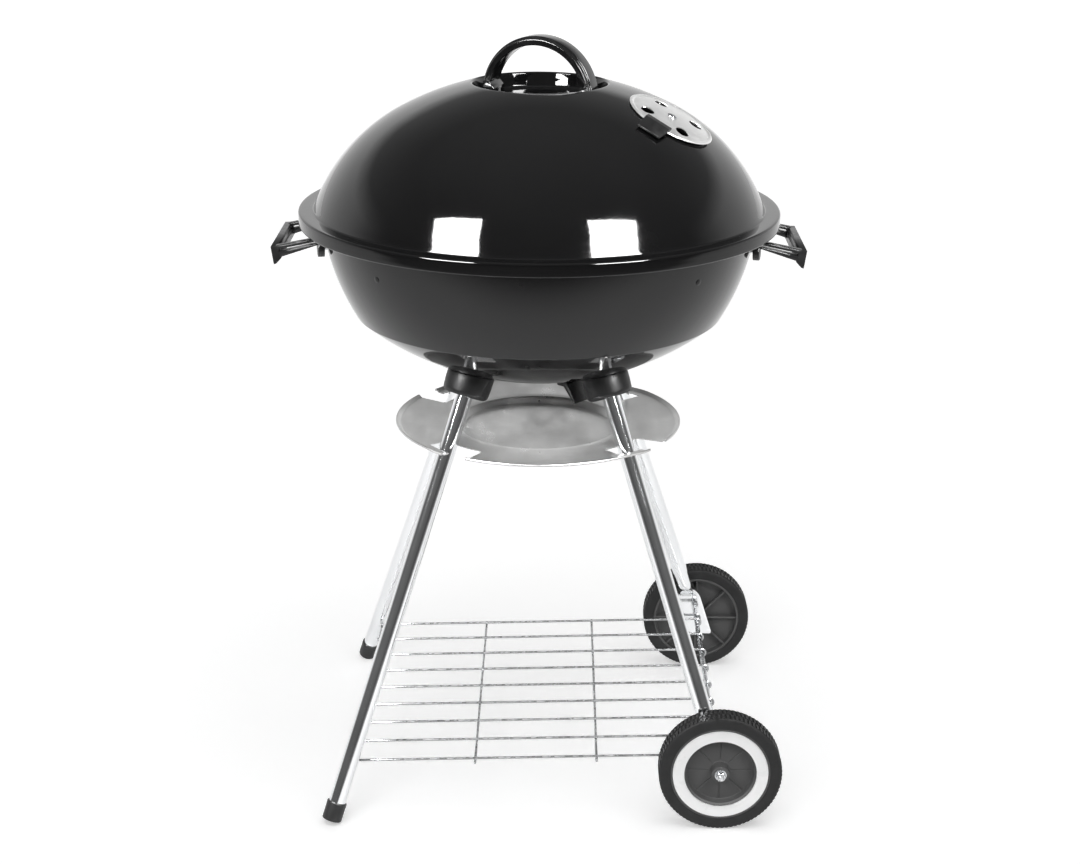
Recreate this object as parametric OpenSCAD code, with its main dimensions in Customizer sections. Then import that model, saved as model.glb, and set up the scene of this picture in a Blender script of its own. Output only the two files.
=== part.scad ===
// Kettle charcoal grill: a bowl on four splayed tube legs, with a lift-off domed lid,
// turning dampers above and below, an ash pan, a wire shelf and a pair of wheels.
// +X is the wheel side, +Y the back, +Z up. The origin is on the ground below the kettle.

/* [Lid] */
// Outer radius of the lid's skirt
lid_r = 222; // [216:1:228]
// Height of the lid brim's upper face above the ground
brim_z = 547.2; // [540:0.1:555]
// Rise of the dome's crown above the brim
dome_h = 121; // [112:1:126]
// Radius of the dome where it meets the brim
dome_r = 208; // [204:1:210]
// Radius of the crown's arc
crown_r = 276; // [260:1:300]
// Radius at which the crown's arc gives way to the shoulder's
switch_r = 130; // [120:1:140]
// Depth of the lid's skirt below the brim
skirt_h = 10.8; // [8:0.1:14]
// Thickness of the enamelled steel sheet
sheet = 1.2; // [0.8:0.1:1.6]
// Radius of the handle dish pressed into the crown
dish_r = 58.5; // [58:0.5:64]
// Height of the dish's floor above the ground
dish_z = 647; // [640:1:650]
// Direction of the lid's handle and damper, in degrees from +X
lid_turn = -22; // [-60:1:60]

/* [Lid handle] */
// Outer radius of the handle's arch
arch_r = 54; // [48:1:56]
// Thickness of the arch
arch_t = 8; // [6:0.5:10]
// Width of the arch
arch_w = 24; // [18:1:26]

/* [Dampers] */
// Radius of both damper discs
damper_r = 41; // [36:1:44]
// Radius of the ring of damper holes
damper_ring_r = 26; // [22:1:28]
// Radius of each damper hole
damper_hole_r = 6.5; // [4:0.5:8]
// Tilt of the lid damper's axis from the vertical, in degrees
lid_damper_tilt = 27.3; // [24:0.1:28]

/* [Bowl] */
// Outer radius of the bowl's wall near the rim
bowl_r = 201; // [196:1:204]
// Radius of the crease between the wall and the bottom
crease_r = 172; // [165:1:178]
// Height of the crease above the ground
crease_z = 450; // [440:1:460]
// Height of the lowest point of the bowl
bowl_bottom_z = 387; // [380:1:392]
// Radius of the arc of the bowl's wall
wall_arc_r = 215; // [205:1:240]

/* [Stand] */
// Distance from the kettle's axis to each leg's foot, along X
foot_x = 189.4; // [180:0.1:195]
// Distance from the kettle's axis to each leg's foot, along Y
foot_y = 178.3; // [170:0.1:185]
// Outer radius of the leg tubes
leg_r = 8; // [7:0.5:9]
// Wall thickness of the leg tubes
leg_wall = 1; // [0.8:0.1:1.5]

/* [Wheels] */
// Radius of the wheels
wheel_r = 56.8; // [50:0.1:62]
// Width of the tyres
tyre_w = 22; // [18:1:24]
// Distance of each wheel's middle from the kettle's axis, along Y
wheel_y = 172.3; // [170:0.1:178]
// Radius of the axle rod
axle_r = 2.5; // [2:0.1:3]

/* [Shelf and pan] */
// Number of long wires in the shelf
shelf_wires = 9; // [5:1:11]
// Distance between the long wires
shelf_pitch = 37.8; // [30:0.1:38]
// Radius of the shelf wire
wire_r = 1.25; // [1:0.05:1.5]
// Outer radius of the ash pan
pan_r = 136.5; // [132:0.5:140]
// Height of the ash pan's rim above the ground
pan_z = 340; // [330:1:345]

/* [Side handles] */
// Distance of each grip's outer face from the kettle's axis
grip_x = 243.5; // [236:0.5:250]
// Half the length of the grip
grip_half = 49; // [44:1:52]
// Height of the top of the grip
grip_z = 518.3; // [514:0.1:522]

/* [Hidden] */
$fn = 96;

// A gap left where one piece sits on or around another
gap = 0.3;
// Radial clearance of a running fit
run = 0.05;
// A length longer than any part of the grill
far = 900;

// Dome: the crown's arc is centred on the axis. The shoulder's arc touches it at the switch
// and ends at the brim.
crown_z = brim_z + dome_h - crown_r;
switch_a = asin(switch_r / crown_r);
arc_dir = [sin(switch_a), cos(switch_a)];
arc_drop = [dome_r, brim_z] - [0, crown_z] - crown_r * arc_dir;
shoulder_r = -(arc_drop * arc_drop) / (2 * (arc_drop * arc_dir));
shoulder_c = [0, crown_z] + (crown_r - shoulder_r) * arc_dir;

// Bowl: the wall's arc passes through the rim and the crease, the bottom is a spherical cap.
rim_z = brim_z - sheet - gap;
cap_r = (pow(crease_r, 2) + pow(crease_z - bowl_bottom_z, 2)) / (2 * (crease_z - bowl_bottom_z));
cap_z = bowl_bottom_z + cap_r;
wall_top = [bowl_r, rim_z - 9];
wall_c = arc_centre(wall_top, [crease_r, crease_z], wall_arc_r);

// Legs: straight lines from the feet to the sockets, one in each corner.
leg_top_z = 398;
leg_slope_x = 0.3185;
leg_slope_y = 0.2866;
leg_tilt = atan(norm([leg_slope_x, leg_slope_y]));
leg_turn = atan2(leg_slope_y, leg_slope_x);
leg_stretch = 1 / cos(leg_tilt);
socket_r = 22;
socket_low_z = 383.5;
bolt_seat = 6.3;
corners = [[-1, -1], [-1, 1], [1, -1], [1, 1]];

// Wheels and axle
axle_x = foot_x - leg_slope_x * wheel_r;
axle_z = wheel_r;
plate_y = 158;
plate_t = 3;
plate_w = 24.5;
plate_tilt = atan(leg_slope_x);
plate_top_z = 84;
tube_end_z = 100;
hub_half = tyre_w / 2 + 0.8;
washer_t = 0.7;
nut_y = wheel_y + hub_half + 0.1 + washer_t;

// Shelf: its wires slope up to the right and hook over the axle. The rods are welded below
// the wires, and the left one enters the left legs.
hook_r = axle_r + gap + wire_r;
hook_bends = 3;
hook_step = 50;
shelf_tilt = 1.75;
shelf_left_x = -169;
shelf_half = (shelf_wires - 1) / 2 * shelf_pitch;
weld_drop = 2 * wire_r - 0.5;

// Grates inside the bowl
cook_r = 190;
cook_z = 524;
bracket_z = cook_z - 12;
coal_r = 158;
coal_z = 447.5;
rod_r = 2;

// Centre of an arc of radius r from a to b that bulges away from the axis
function arc_centre(a, b, r) =
    let (m = (a + b) / 2, d = b - a, h = norm(d) / 2, s = sqrt(r * r - h * h))
    m + s * [d[1], -d[0]] / norm(d);

// Point on a leg's axis at height z, in the corner given by its signs
function leg_point(c, z) = [
    c[0] * (foot_x - leg_slope_x * z),
    c[1] * (foot_y - leg_slope_y * z),
    z
];

// Radius of the bowl's wall at height z, on its face drawn in by a distance
function wall_at(z, inset) = wall_c[0] + half_chord(wall_arc_r - inset, z - wall_c[1]);

// Height of the wires' axes over x, on the line that touches the hooks' arc
function wire_z(x) = axle_z + hook_r / cos(shelf_tilt) - (axle_x - x) * tan(shelf_tilt);

// Corner k of the hook round the axle, on the wire at distance y
function hook_point(k, y) =
    let (a = 90 + shelf_tilt - hook_step * (k + 0.5), r = hook_r / cos(hook_step / 2))
    [axle_x + r * cos(a), y, axle_z + r * sin(a)];

// Half the chord of a circle of radius r at distance d from its centre
function half_chord(r, d) = sqrt(r * r - d * d);

// Puts its children on a leg's axis at height z, with +Z running up the leg
module on_leg(c, z) {
    translate(leg_point(c, z))
        rotate([0, leg_tilt, atan2(-c[1] * leg_slope_y, -c[0] * leg_slope_x)]) children();
}

// Puts its children at the lid's own turn
module lid_frame() {
    rotate([0, 0, lid_turn]) children();
}

// Puts its children at the crown's centre with +Z through the lid damper
module lid_damper_frame() {
    lid_frame() translate([0, 0, crown_z]) rotate([0, lid_damper_tilt, 0]) children();
}

// Four holes of a damper, along Z from z0 upwards
module damper_holes(z0, h) {
    for (a = [45 : 90 : 315]) {
        rotate([0, 0, a]) translate([damper_ring_r, 0, z0]) cylinder(r = damper_hole_r, h = h);
    }
}

// Hexagonal head or nut
module hexagon(across, h) {
    cylinder(d = across / cos(30), h = h, $fn = 6);
}

// Half section of the dome, drawn in by a distance
module dome_area(inset) {
    intersection() {
        translate([0, brim_z - sheet]) square([far, far]);
        union() {
            intersection() {
                translate([0, crown_z]) circle(r = crown_r - inset);
                polygon([[0, crown_z], [0, crown_z + far], [0, crown_z] + far * arc_dir]);
            }
            translate(shoulder_c) circle(r = shoulder_r - inset);
        }
    }
}

// Half section of the bowl, drawn in by a distance
module bowl_area(inset) {
    intersection() {
        square([far, rim_z]);
        translate(wall_c) circle(r = wall_arc_r - inset);
        translate([0, cap_z]) circle(r = cap_r - inset);
    }
}

module lid_shell() {
    dish_wall = dish_r + 3;
    wall_z = crown_z + sqrt(crown_r * crown_r - dish_wall * dish_wall);
    hem_r = 1.5;
    color("#1c1c1e")
    difference() {
        rotate_extrude() union() {
            difference() {
                dome_area(0);
                dome_area(sheet);
                square([dish_wall, far]);
            }
            polygon([
                [0, dish_z - sheet], [dish_r, dish_z - sheet], [dish_wall + 1, wall_z - 1.6],
                [dish_wall + 1, wall_z - 0.4], [dish_wall - 0.4, wall_z], [dish_r - 0.8, dish_z],
                [0, dish_z]
            ]);
            translate([dome_r - 1.5, brim_z - sheet]) square([lid_r - dome_r + 1.5, sheet]);
            translate([lid_r - sheet, brim_z - skirt_h]) square([sheet, skirt_h]);
            translate([lid_r - hem_r, brim_z - skirt_h]) circle(r = hem_r);
        }
        lid_damper_frame() {
            damper_holes(crown_r - 20, 40);
            translate([0, 0, crown_r - 20]) cylinder(r = 2.5 + run, h = 40);
        }
        lid_frame() for (s = [-1, 1]) {
            translate([s * (arch_r - arch_t / 2 - 1), 0, dish_z - 10]) cylinder(r = 2.2, h = 20);
        }
    }
}

module lid_handle() {
    foot_h = 12;
    foot_x0 = arch_r - arch_t - 5;
    arch_z = dish_z + 2;
    color("#141414")
    lid_frame() difference() {
        union() {
            translate([0, 0, arch_z]) rotate([90, 0, 0]) rotate_extrude(angle = 180) {
                translate([arch_r - arch_t, -arch_w / 2]) square([arch_t - 2, arch_w]);
                translate([arch_r - 3, -arch_w / 2 + 4]) square([3, arch_w - 8]);
            }
            for (s = [0, 180]) {
                rotate([0, 0, s]) translate([foot_x0, -arch_w / 2 - 1, dish_z + gap / 3])
                    cube([arch_r - foot_x0 + 1, arch_w + 2, foot_h]);
            }
        }
        for (s = [-1, 1]) {
            translate([s * (arch_r - arch_t / 2 - 1), 0, dish_z - 1]) cylinder(r = 2.05, h = 12);
        }
    }
}

module lid_handle_screws() {
    color("silver")
    lid_frame() for (s = [-1, 1]) {
        translate([s * (arch_r - arch_t / 2 - 1), 0, dish_z - sheet - 3]) {
            cylinder(r = 4, h = 2.9);
            cylinder(r = 2, h = 13);
        }
    }
}

// Damper disc: a cap of a sphere, with four holes, a rivet hole and a raised bead at its edge
module damper_disc(inner_r) {
    thick = 1.2;
    difference() {
        union() {
            intersection() {
                difference() {
                    sphere(r = inner_r + thick);
                    sphere(r = inner_r);
                }
                translate([0, 0, inner_r - 20]) cylinder(r = damper_r, h = 40);
            }
            intersection() {
                difference() {
                    sphere(r = inner_r + thick + 1);
                    sphere(r = inner_r + thick / 2);
                }
                translate([0, 0, inner_r - 20]) difference() {
                    cylinder(r = damper_r, h = 40);
                    cylinder(r = damper_r - 3, h = 40);
                }
            }
        }
        damper_holes(inner_r - 20, 40);
        translate([0, 0, inner_r - 20]) cylinder(r = 2.5 + run, h = 40);
    }
}

// Rivet that holds a damper to a sheet: two heads and a shank, with its axis through the disc
module damper_rivet(sheet_r, disc_r) {
    translate([0, 0, sheet_r - sheet - 1.6]) cylinder(r = 5, h = 1.4);
    translate([0, 0, sheet_r - sheet - 1.6]) cylinder(r = 2.5, h = disc_r - sheet_r + sheet + 3.4);
    translate([0, 0, disc_r + 0.2]) cylinder(r = 5, h = 1.6);
}

module lid_vent_disc() {
    color("#d8d8d8") lid_damper_frame() damper_disc(crown_r + gap);
}

module lid_vent_rivet() {
    color("silver") lid_damper_frame() damper_rivet(crown_r, crown_r + gap + 1.2);
}

module lid_vent_tab() {
    top = crown_r + gap + 1.2;
    color("#1a1a1a")
    lid_damper_frame() rotate([0, 0, -90]) translate([0, 12, 0]) rotate([90, 0, 0])
        linear_extrude(height = 24) polygon([
            [damper_r - 6, top - 1.7], [damper_r + 1.2, top - 2.1], [damper_r + 1.2, top - 4.1],
            [56, top - 6.4], [56, top - 3.9], [damper_r + 4, top + 0.8], [damper_r - 6, top + 0.9]
        ]);
}

module bowl_shell() {
    bead_r = 2.2;
    flange_r = 214;
    color("#1c1c1e")
    difference() {
        rotate_extrude() union() {
            difference() {
                bowl_area(0);
                bowl_area(sheet);
                translate([0, rim_z - 0.01]) square([far, far]);
            }
            translate([bowl_r - 0.6, rim_z - sheet]) square([flange_r - bowl_r + 0.6, sheet]);
            translate([flange_r, rim_z - bead_r]) circle(r = bead_r);
        }
        translate([0, 0, cap_z]) mirror([0, 0, 1]) {
            damper_holes(cap_r - 20, 40);
            translate([0, 0, cap_r - 20]) cylinder(r = 2.5 + run, h = 40);
        }
        for (c = corners) on_leg(c, leg_top_z - 10) cylinder(r = 3.3, h = 30);
        for (s = [-1, 1], y = [-1, 1]) {
            handle_screw_axis(s, y) translate([0, 0, -12]) cylinder(r = 2.3, h = 24);
        }
        for (a = [45 : 90 : 315]) {
            rotate([0, 0, a]) translate([bowl_r - 12, 0, bracket_z]) rotate([0, 90, 0])
                cylinder(r = 2.05, h = 20);
        }
    }
}

// Brackets that carry the cooking grate: bent strips riveted to the inside of the bowl's wall
module grate_brackets() {
    wall_in = wall_at(bracket_z, sheet);
    color("silver")
    for (a = [45 : 90 : 315]) {
        rotate([0, 0, a]) difference() {
            union() {
                translate([wall_in - 4.2, -8, cook_z - 22]) cube([2, 16, 20 - rod_r]);
                translate([wall_in - 17, -8, cook_z - rod_r - 2.1]) cube([14.8, 16, 2]);
            }
            translate([wall_in - 10, 0, bracket_z]) rotate([0, 90, 0]) cylinder(r = 2.05, h = 12);
        }
    }
}

module bracket_rivets() {
    wall_in = wall_at(bracket_z, sheet);
    color("silver")
    for (a = [45 : 90 : 315]) {
        rotate([0, 0, a]) translate([wall_in, 0, bracket_z]) rotate([0, 90, 0]) {
            translate([0, 0, -6.2]) cylinder(r = 4, h = 1.9);
            translate([0, 0, -6.2]) cylinder(r = 2, h = 9.4);
            translate([0, 0, 2.2]) cylinder(r = 4, h = 1.2);
        }
    }
}

module bowl_vent_rivet() {
    color("silver") translate([0, 0, cap_z]) mirror([0, 0, 1]) damper_rivet(cap_r, cap_r + gap + 1.2);
}

module bowl_vent_disc() {
    color("#d8d8d8") translate([0, 0, cap_z]) mirror([0, 0, 1]) damper_disc(cap_r + gap);
}

// The lower tab is bent down so that a finger can reach it under the bowl.
module bowl_vent_tab() {
    top = bowl_bottom_z + 3.2 - gap - 1.2;
    color("#1a1a1a")
    rotate([0, 0, -42]) translate([0, 12.5, 0]) rotate([90, 0, 0])
        linear_extrude(height = 25) polygon([
            [damper_r - 6, top - 1.7], [damper_r + 1.2, top + 0.6], [damper_r + 1.2, top + 1.6],
            [damper_r + 6, top + 1.6], [57, 371], [55, 370], [damper_r + 3, top - 2.6],
            [damper_r - 6, top - 3.2]
        ]);
}

// Frame of a side handle's screw: origin on the wall's outer face, +Z pointing outwards
module handle_screw_axis(s, y) {
    z = grip_z - 3;
    pad_y = grip_half - 8;
    r = wall_at(z, 0);
    a = asin(pad_y / r);
    rotate([0, 0, s > 0 ? y * a : 180 - y * a]) translate([r, 0, z]) rotate([0, 90, 0]) children();
}

// Side handle on the +X side: two slotted arms and a grip with a fin below
module side_handle() {
    arm_w = 9;
    arm_in = 186;
    top_slope = 0.2;
    arm_rise = (grip_x - 3 - arm_in) * top_slope;
    slot_in = grip_x - 43;
    slot_out = grip_x - 8;
    slot_z = grip_z - 4.7;
    slot_rise = (slot_out - slot_in) * top_slope;
    root_z = grip_z - 18;
    root_h = 35;
    root_gap = 0.8;
    color("#141414")
    difference() {
        union() {
            for (y = [-1, 1]) {
                translate([0, y * (grip_half - arm_w / 2) + arm_w / 2, 0]) rotate([90, 0, 0])
                    linear_extrude(height = arm_w) difference() {
                        polygon([
                            [grip_x - 3, grip_z - 0.3], [arm_in, grip_z - 0.3 + arm_rise],
                            [arm_in, grip_z - 11.3 + arm_rise * 1.5], [grip_x - 5, grip_z - 11.3]
                        ]);
                        polygon([
                            [slot_out, slot_z], [slot_in, slot_z + slot_rise],
                            [slot_in, slot_z + slot_rise + 2.2], [slot_out, slot_z + 2.2]
                        ]);
                    }
                handle_screw_axis(1, y) translate([0, 0, 0.5]) cylinder(r = 8, h = 7);
            }
            translate([0, grip_half, 0]) rotate([90, 0, 0])
                linear_extrude(height = 2 * grip_half) polygon([
                    [grip_x - 6, grip_z], [grip_x, grip_z], [grip_x - 2.5, grip_z - 17],
                    [grip_x - 5, grip_z - 16], [grip_x - 9.5, grip_z - 11], [grip_x - 8, grip_z - 4]
                ]);
        }
        translate([0, 0, root_z]) cylinder(
            r1 = wall_at(root_z, 0) + root_gap, r2 = wall_at(root_z + root_h, 0) + root_gap, h = root_h
        );
        for (y = [-1, 1]) handle_screw_axis(1, y) translate([0, 0, -3]) cylinder(r = 2.05, h = 9);
    }
}

module side_handle_right() {
    side_handle();
}

module side_handle_left() {
    mirror([1, 0, 0]) side_handle();
}

module side_handle_screws() {
    color("silver")
    for (s = [-1, 1], y = [-1, 1]) {
        handle_screw_axis(s, y) {
            translate([0, 0, -4.6]) cylinder(r = 4, h = 2.2);
            translate([0, 0, -4.6]) cylinder(r = 2, h = 10);
        }
    }
}

// Moulded boot that joins a leg to the bowl's underside
module socket(c) {
    edge = 5;
    height = (leg_top_z - socket_low_z) * leg_stretch;
    color("#161616")
    difference() {
        on_leg(c, socket_low_z) {
            cylinder(r1 = socket_r - edge, r2 = socket_r, h = edge);
            translate([0, 0, edge]) cylinder(r = socket_r, h = 28);
        }
        translate([0, 0, cap_z]) sphere(r = cap_r + gap / 3);
        on_leg(c, socket_low_z - 5) cylinder(r = leg_r + gap / 3, h = height + 5);
        on_leg(c, socket_low_z) cylinder(r = 3.3, h = 40);
    }
}

module socket_front_left() { socket(corners[0]); }
module socket_rear_left() { socket(corners[1]); }
module socket_front_right() { socket(corners[2]); }
module socket_rear_right() { socket(corners[3]); }

// Threaded plugs pressed into the tops of the leg tubes
module leg_inserts() {
    color("silver")
    for (c = corners) {
        on_leg(c, leg_top_z) difference() {
            translate([0, 0, -16]) cylinder(r = leg_r - leg_wall - 0.02, h = 15.8);
            translate([0, 0, -17]) cylinder(r = 3.05, h = 20);
        }
    }
}

// Bolts from inside the bowl down into the legs
module leg_bolts() {
    color("silver")
    for (c = corners) {
        on_leg(c, leg_top_z) {
            translate([0, 0, bolt_seat + 1.3]) hexagon(10, 4);
            translate([0, 0, -14]) cylinder(r = 3, h = bolt_seat + 15.3);
        }
    }
}

module leg_washers() {
    color("silver")
    for (c = corners) {
        on_leg(c, leg_top_z) translate([0, 0, bolt_seat]) difference() {
            cylinder(r = 7, h = 1.2);
            translate([0, 0, -1]) cylinder(r = 3.2, h = 4);
        }
    }
}

// A leg that stands on a foot cap, with a hole for the shelf's rod
module plain_leg(c) {
    low = 8;
    color("#cfd2d4")
    difference() {
        on_leg(c, low) difference() {
            cylinder(r = leg_r, h = (leg_top_z - low) * leg_stretch);
            translate([0, 0, -1]) cylinder(r = leg_r - leg_wall, h = (leg_top_z - low) * leg_stretch + 2);
        }
        translate([shelf_left_x, c[1] * (foot_y - 30), wire_z(shelf_left_x) - weld_drop])
            rotate([-c[1] * 90, 0, 0])
            cylinder(r = wire_r + 0.3, h = 17);
    }
}

// Flat-sided flare that joins a leg's tube to its plate: it widens along X and thins along Y
module flare(c, plate_x) {
    top = tube_end_z + 2;
    low = plate_top_z - 1;
    tube = leg_point(c, top);
    half = leg_r + 0.2;
    intersection() {
        rotate([90, 0, 0]) linear_extrude(height = far, center = true) polygon([
            [tube[0] - half, top], [tube[0] + half, top],
            [plate_x + plate_w / 2, low], [plate_x - plate_w / 2, low]
        ]);
        rotate([90, 0, 90]) linear_extrude(height = far) polygon([
            [tube[1] - half, top], [tube[1] + half, top],
            [c[1] * plate_y + plate_t / 2, low], [c[1] * plate_y - plate_t / 2, low]
        ]);
    }
}

// A leg whose lower end is flattened, bent upright and drilled for the axle
module wheel_leg(c) {
    plate_x = axle_x - (plate_top_z - axle_z) * tan(plate_tilt);
    length = (leg_top_z - tube_end_z) * leg_stretch;
    color("#cfd2d4")
    difference() {
        union() {
            on_leg(c, tube_end_z) difference() {
                cylinder(r = leg_r, h = length);
                translate([0, 0, 4]) cylinder(r = leg_r - leg_wall, h = length);
            }
            flare(c, plate_x);
            translate([plate_x, c[1] * plate_y, plate_top_z]) rotate([0, -plate_tilt, 0])
                translate([-plate_w / 2, -plate_t / 2, -44]) cube([plate_w, plate_t, 44]);
        }
        translate([axle_x, c[1] * plate_y - 10, axle_z]) rotate([-90, 0, 0])
            cylinder(r = axle_r + 0.1, h = 20);
    }
}

module leg_front_left() { plain_leg(corners[0]); }
module leg_rear_left() { plain_leg(corners[1]); }
module leg_front_right() { wheel_leg(corners[2]); }
module leg_rear_right() { wheel_leg(corners[3]); }

// Plastic cap pushed over a foot's end; its lower edge is worn to a small flat on the ground
module foot_cap(c) {
    cap_wall = 1.2;
    end_z = (leg_r + cap_wall) * sin(leg_tilt) - 1;
    color("#161616")
    difference() {
        on_leg(c, end_z) cylinder(r = leg_r + cap_wall, h = 18);
        on_leg(c, 8 - 0.4) cylinder(r = leg_r + 0.02, h = 30);
        translate([-far, -far, -50]) cube([2 * far, 2 * far, 50]);
    }
}

module foot_cap_front() { foot_cap(corners[0]); }
module foot_cap_rear() { foot_cap(corners[1]); }

// Round wire from a to b. Where it starts at a bend, a slightly fuller knuckle fills the bend.
module wire(a, b, bend) {
    d = b - a;
    translate(a) rotate([0, atan2(norm([d[0], d[1]]), d[2]), atan2(d[1], d[0])]) {
        cylinder(r = wire_r, h = norm(d));
        if (bend) sphere(r = wire_r + 0.15);
    }
}

module wire_shelf() {
    rod_z = wire_z(shelf_left_x) - weld_drop;
    rod_end = foot_y - leg_slope_y * rod_z - 2;
    start_x = shelf_left_x - 2;
    color("#c9cccd")
    union() {
        for (i = [0 : shelf_wires - 1]) {
            y = i * shelf_pitch - shelf_half;
            wire([start_x, y, wire_z(start_x)], hook_point(0, y), false);
            for (k = [0 : hook_bends - 1]) wire(hook_point(k, y), hook_point(k + 1, y), true);
        }
        translate([shelf_left_x, -rod_end, rod_z]) rotate([-90, 0, 0])
            cylinder(r = wire_r, h = 2 * rod_end);
        for (k = [1, 2]) {
            x = shelf_left_x + k * (axle_x - shelf_left_x) / 3;
            translate([x, -shelf_half - 6, wire_z(x) - weld_drop]) rotate([-90, 0, 0])
                cylinder(r = wire_r, h = 2 * shelf_half + 12);
        }
    }
}

module axle() {
    color("silver")
    translate([axle_x, -nut_y - 7, axle_z]) rotate([-90, 0, 0]) cylinder(r = axle_r, h = 2 * nut_y + 14);
}

module axle_nuts() {
    color("silver")
    for (s = [0, 180]) {
        translate([axle_x, 0, axle_z]) rotate([0, 0, s]) translate([0, -nut_y, 0]) rotate([90, 0, 0])
            difference() {
                hexagon(8, 4);
                translate([0, 0, -1]) cylinder(r = axle_r + 0.02, h = 6);
            }
    }
}

// One washer outside each wheel and one between each wheel and its leg
module axle_washers() {
    color("silver")
    for (s = [-1, 1], side = [-1, 1]) {
        translate([axle_x, s * (wheel_y + side * (hub_half + 0.05 + washer_t / 2)), axle_z])
            rotate([90, 0, 0]) difference() {
            cylinder(r = 5.5, h = washer_t, center = true);
            cylinder(r = axle_r + 0.1, h = 3, center = true);
        }
    }
}

// Puts a wheel's section, drawn as radius and outward distance, on the axle
module wheel_frame(s) {
    translate([axle_x, s * wheel_y, axle_z]) rotate([-s * 90, 0, 0]) children();
}

module tyre(s) {
    w = tyre_w / 2;
    color("#202020")
    wheel_frame(s) rotate_extrude() polygon([
        [46, -w], [wheel_r - 1.5, -w], [wheel_r, -w + 1.5],
        [wheel_r, w - 1.5], [wheel_r - 1.5, w], [46, w]
    ]);
}

// Dished hub: a bored boss, a recessed web, a flange behind the pale ring and an outer rim
module hub(s) {
    w = tyre_w / 2;
    color("#1b1b1b")
    wheel_frame(s) {
        rotate_extrude() polygon([
            [axle_r + run, -hub_half], [8, -hub_half], [8, -2], [43.5, -2],
            [43.5, -w + 0.5], [45.9, -w + 0.5], [45.9, w - 0.4], [44.2, w - 0.4],
            [44.2, w - 2.3], [33, w - 2.3], [31.5, w - 4], [30, 1],
            [8, 1], [8, hub_half], [axle_r + run, hub_half]
        ]);
        for (a = [0 : 45 : 315]) {
            rotate([0, 0, a]) translate([7.5, -1, -w + 2]) cube([36.5, 2, w - 3]);
        }
    }
}

module pale_ring(s) {
    color("white")
    wheel_frame(s) translate([0, 0, tyre_w / 2 - 2.2]) difference() {
        cylinder(r = 44, h = 2.2);
        translate([0, 0, -1]) cylinder(r = 33.2, h = 5);
    }
}

module front_tyre() { tyre(-1); }
module front_hub() { hub(-1); }
module front_ring() { pale_ring(-1); }
module rear_tyre() { tyre(1); }
module rear_hub() { hub(1); }
module rear_ring() { pale_ring(1); }

// Round grate: a ring with parallel bars, and two bars across below them
module grate(r, z, bars, pitch, cross) {
    translate([0, 0, z]) {
        rotate_extrude() translate([r, 0]) circle(r = rod_r, $fn = 24);
        for (i = [0 : bars - 1]) {
            x = (i - (bars - 1) / 2) * pitch;
            h = half_chord(r, x);
            translate([x, -h, 0]) rotate([-90, 0, 0]) cylinder(r = rod_r * 0.75, h = 2 * h, $fn = 24);
        }
        for (y = [-cross, cross]) {
            h = half_chord(r, y);
            translate([-h, y, -0.8]) rotate([0, 90, 0]) cylinder(r = rod_r * 0.75, h = 2 * h, $fn = 24);
        }
    }
}

module cooking_grate() {
    color("#c9cccd") grate(cook_r, cook_z, 19, 18.6, 95);
}

module charcoal_grate() {
    color("#9a9a98") grate(coal_r, coal_z, 11, 26, 70);
}

// Ash pan: a thin dish with a sunk middle and a rolled rim. Four bayonet slots take the legs:
// each leg enters through a gap in the rim, and a turn brings it under the rim's lobe.
module ash_pan() {
    t = 0.9;
    sunk_r = 78;
    sunk_h = 11;
    ridge_h = 5;
    slot_in = 104.5;
    leg_at = leg_point(corners[3], pan_z - 4);
    slot_out = norm([leg_at[0], leg_at[1]]) + leg_r * leg_stretch + gap;
    gap_from = -40;
    gap_to = -28.4;
    slot_from = -53;
    cut_h = 30;
    color("#c8c8c6")
    difference() {
        rotate_extrude() polygon([
            [0, pan_z - sunk_h], [sunk_r - 5, pan_z - sunk_h], [sunk_r, pan_z - ridge_h],
            [pan_r - 4, pan_z - 2.4], [pan_r - 2, pan_z - 1], [pan_r, pan_z - 1],
            [pan_r, pan_z + 1.2], [pan_r - 2.4, pan_z + 1.2], [pan_r - 4.4, pan_z - 2.4 + t],
            [sunk_r - 0.4, pan_z - ridge_h + t], [sunk_r - 5.4, pan_z - sunk_h + t],
            [0, pan_z - sunk_h + t]
        ]);
        for (q = [0 : 90 : 270]) rotate([0, 0, q]) translate([0, 0, pan_z - cut_h / 2]) {
            rotate([0, 0, slot_from]) rotate_extrude(angle = gap_to - slot_from - 1)
                translate([slot_in, 0]) square([slot_out - slot_in, cut_h]);
            rotate([0, 0, gap_from]) rotate_extrude(angle = gap_to - gap_from)
                translate([slot_in + 2, 0]) square([40, cut_h]);
        }
    }
}

bowl_shell();
grate_brackets();
bracket_rivets();
bowl_vent_rivet();
side_handle_left();
side_handle_right();
side_handle_screws();
leg_front_left();
leg_rear_left();
leg_front_right();
leg_rear_right();
socket_front_left();
socket_rear_left();
socket_front_right();
socket_rear_right();
leg_inserts();
leg_bolts();
leg_washers();
foot_cap_front();
foot_cap_rear();
wire_shelf();
axle();
axle_nuts();
axle_washers();
lid_shell();
lid_handle();
lid_handle_screws();
lid_vent_rivet();
lid_vent_disc();
lid_vent_tab();
bowl_vent_disc();
bowl_vent_tab();
cooking_grate();
charcoal_grate();
ash_pan();
front_tyre();
front_hub();
front_ring();
rear_tyre();
rear_hub();
rear_ring();
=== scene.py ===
import math

import bpy
import numpy as np
from bpy.props import FloatProperty, FloatVectorProperty, IntProperty, PointerProperty
from mathutils import Matrix, Vector


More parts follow.
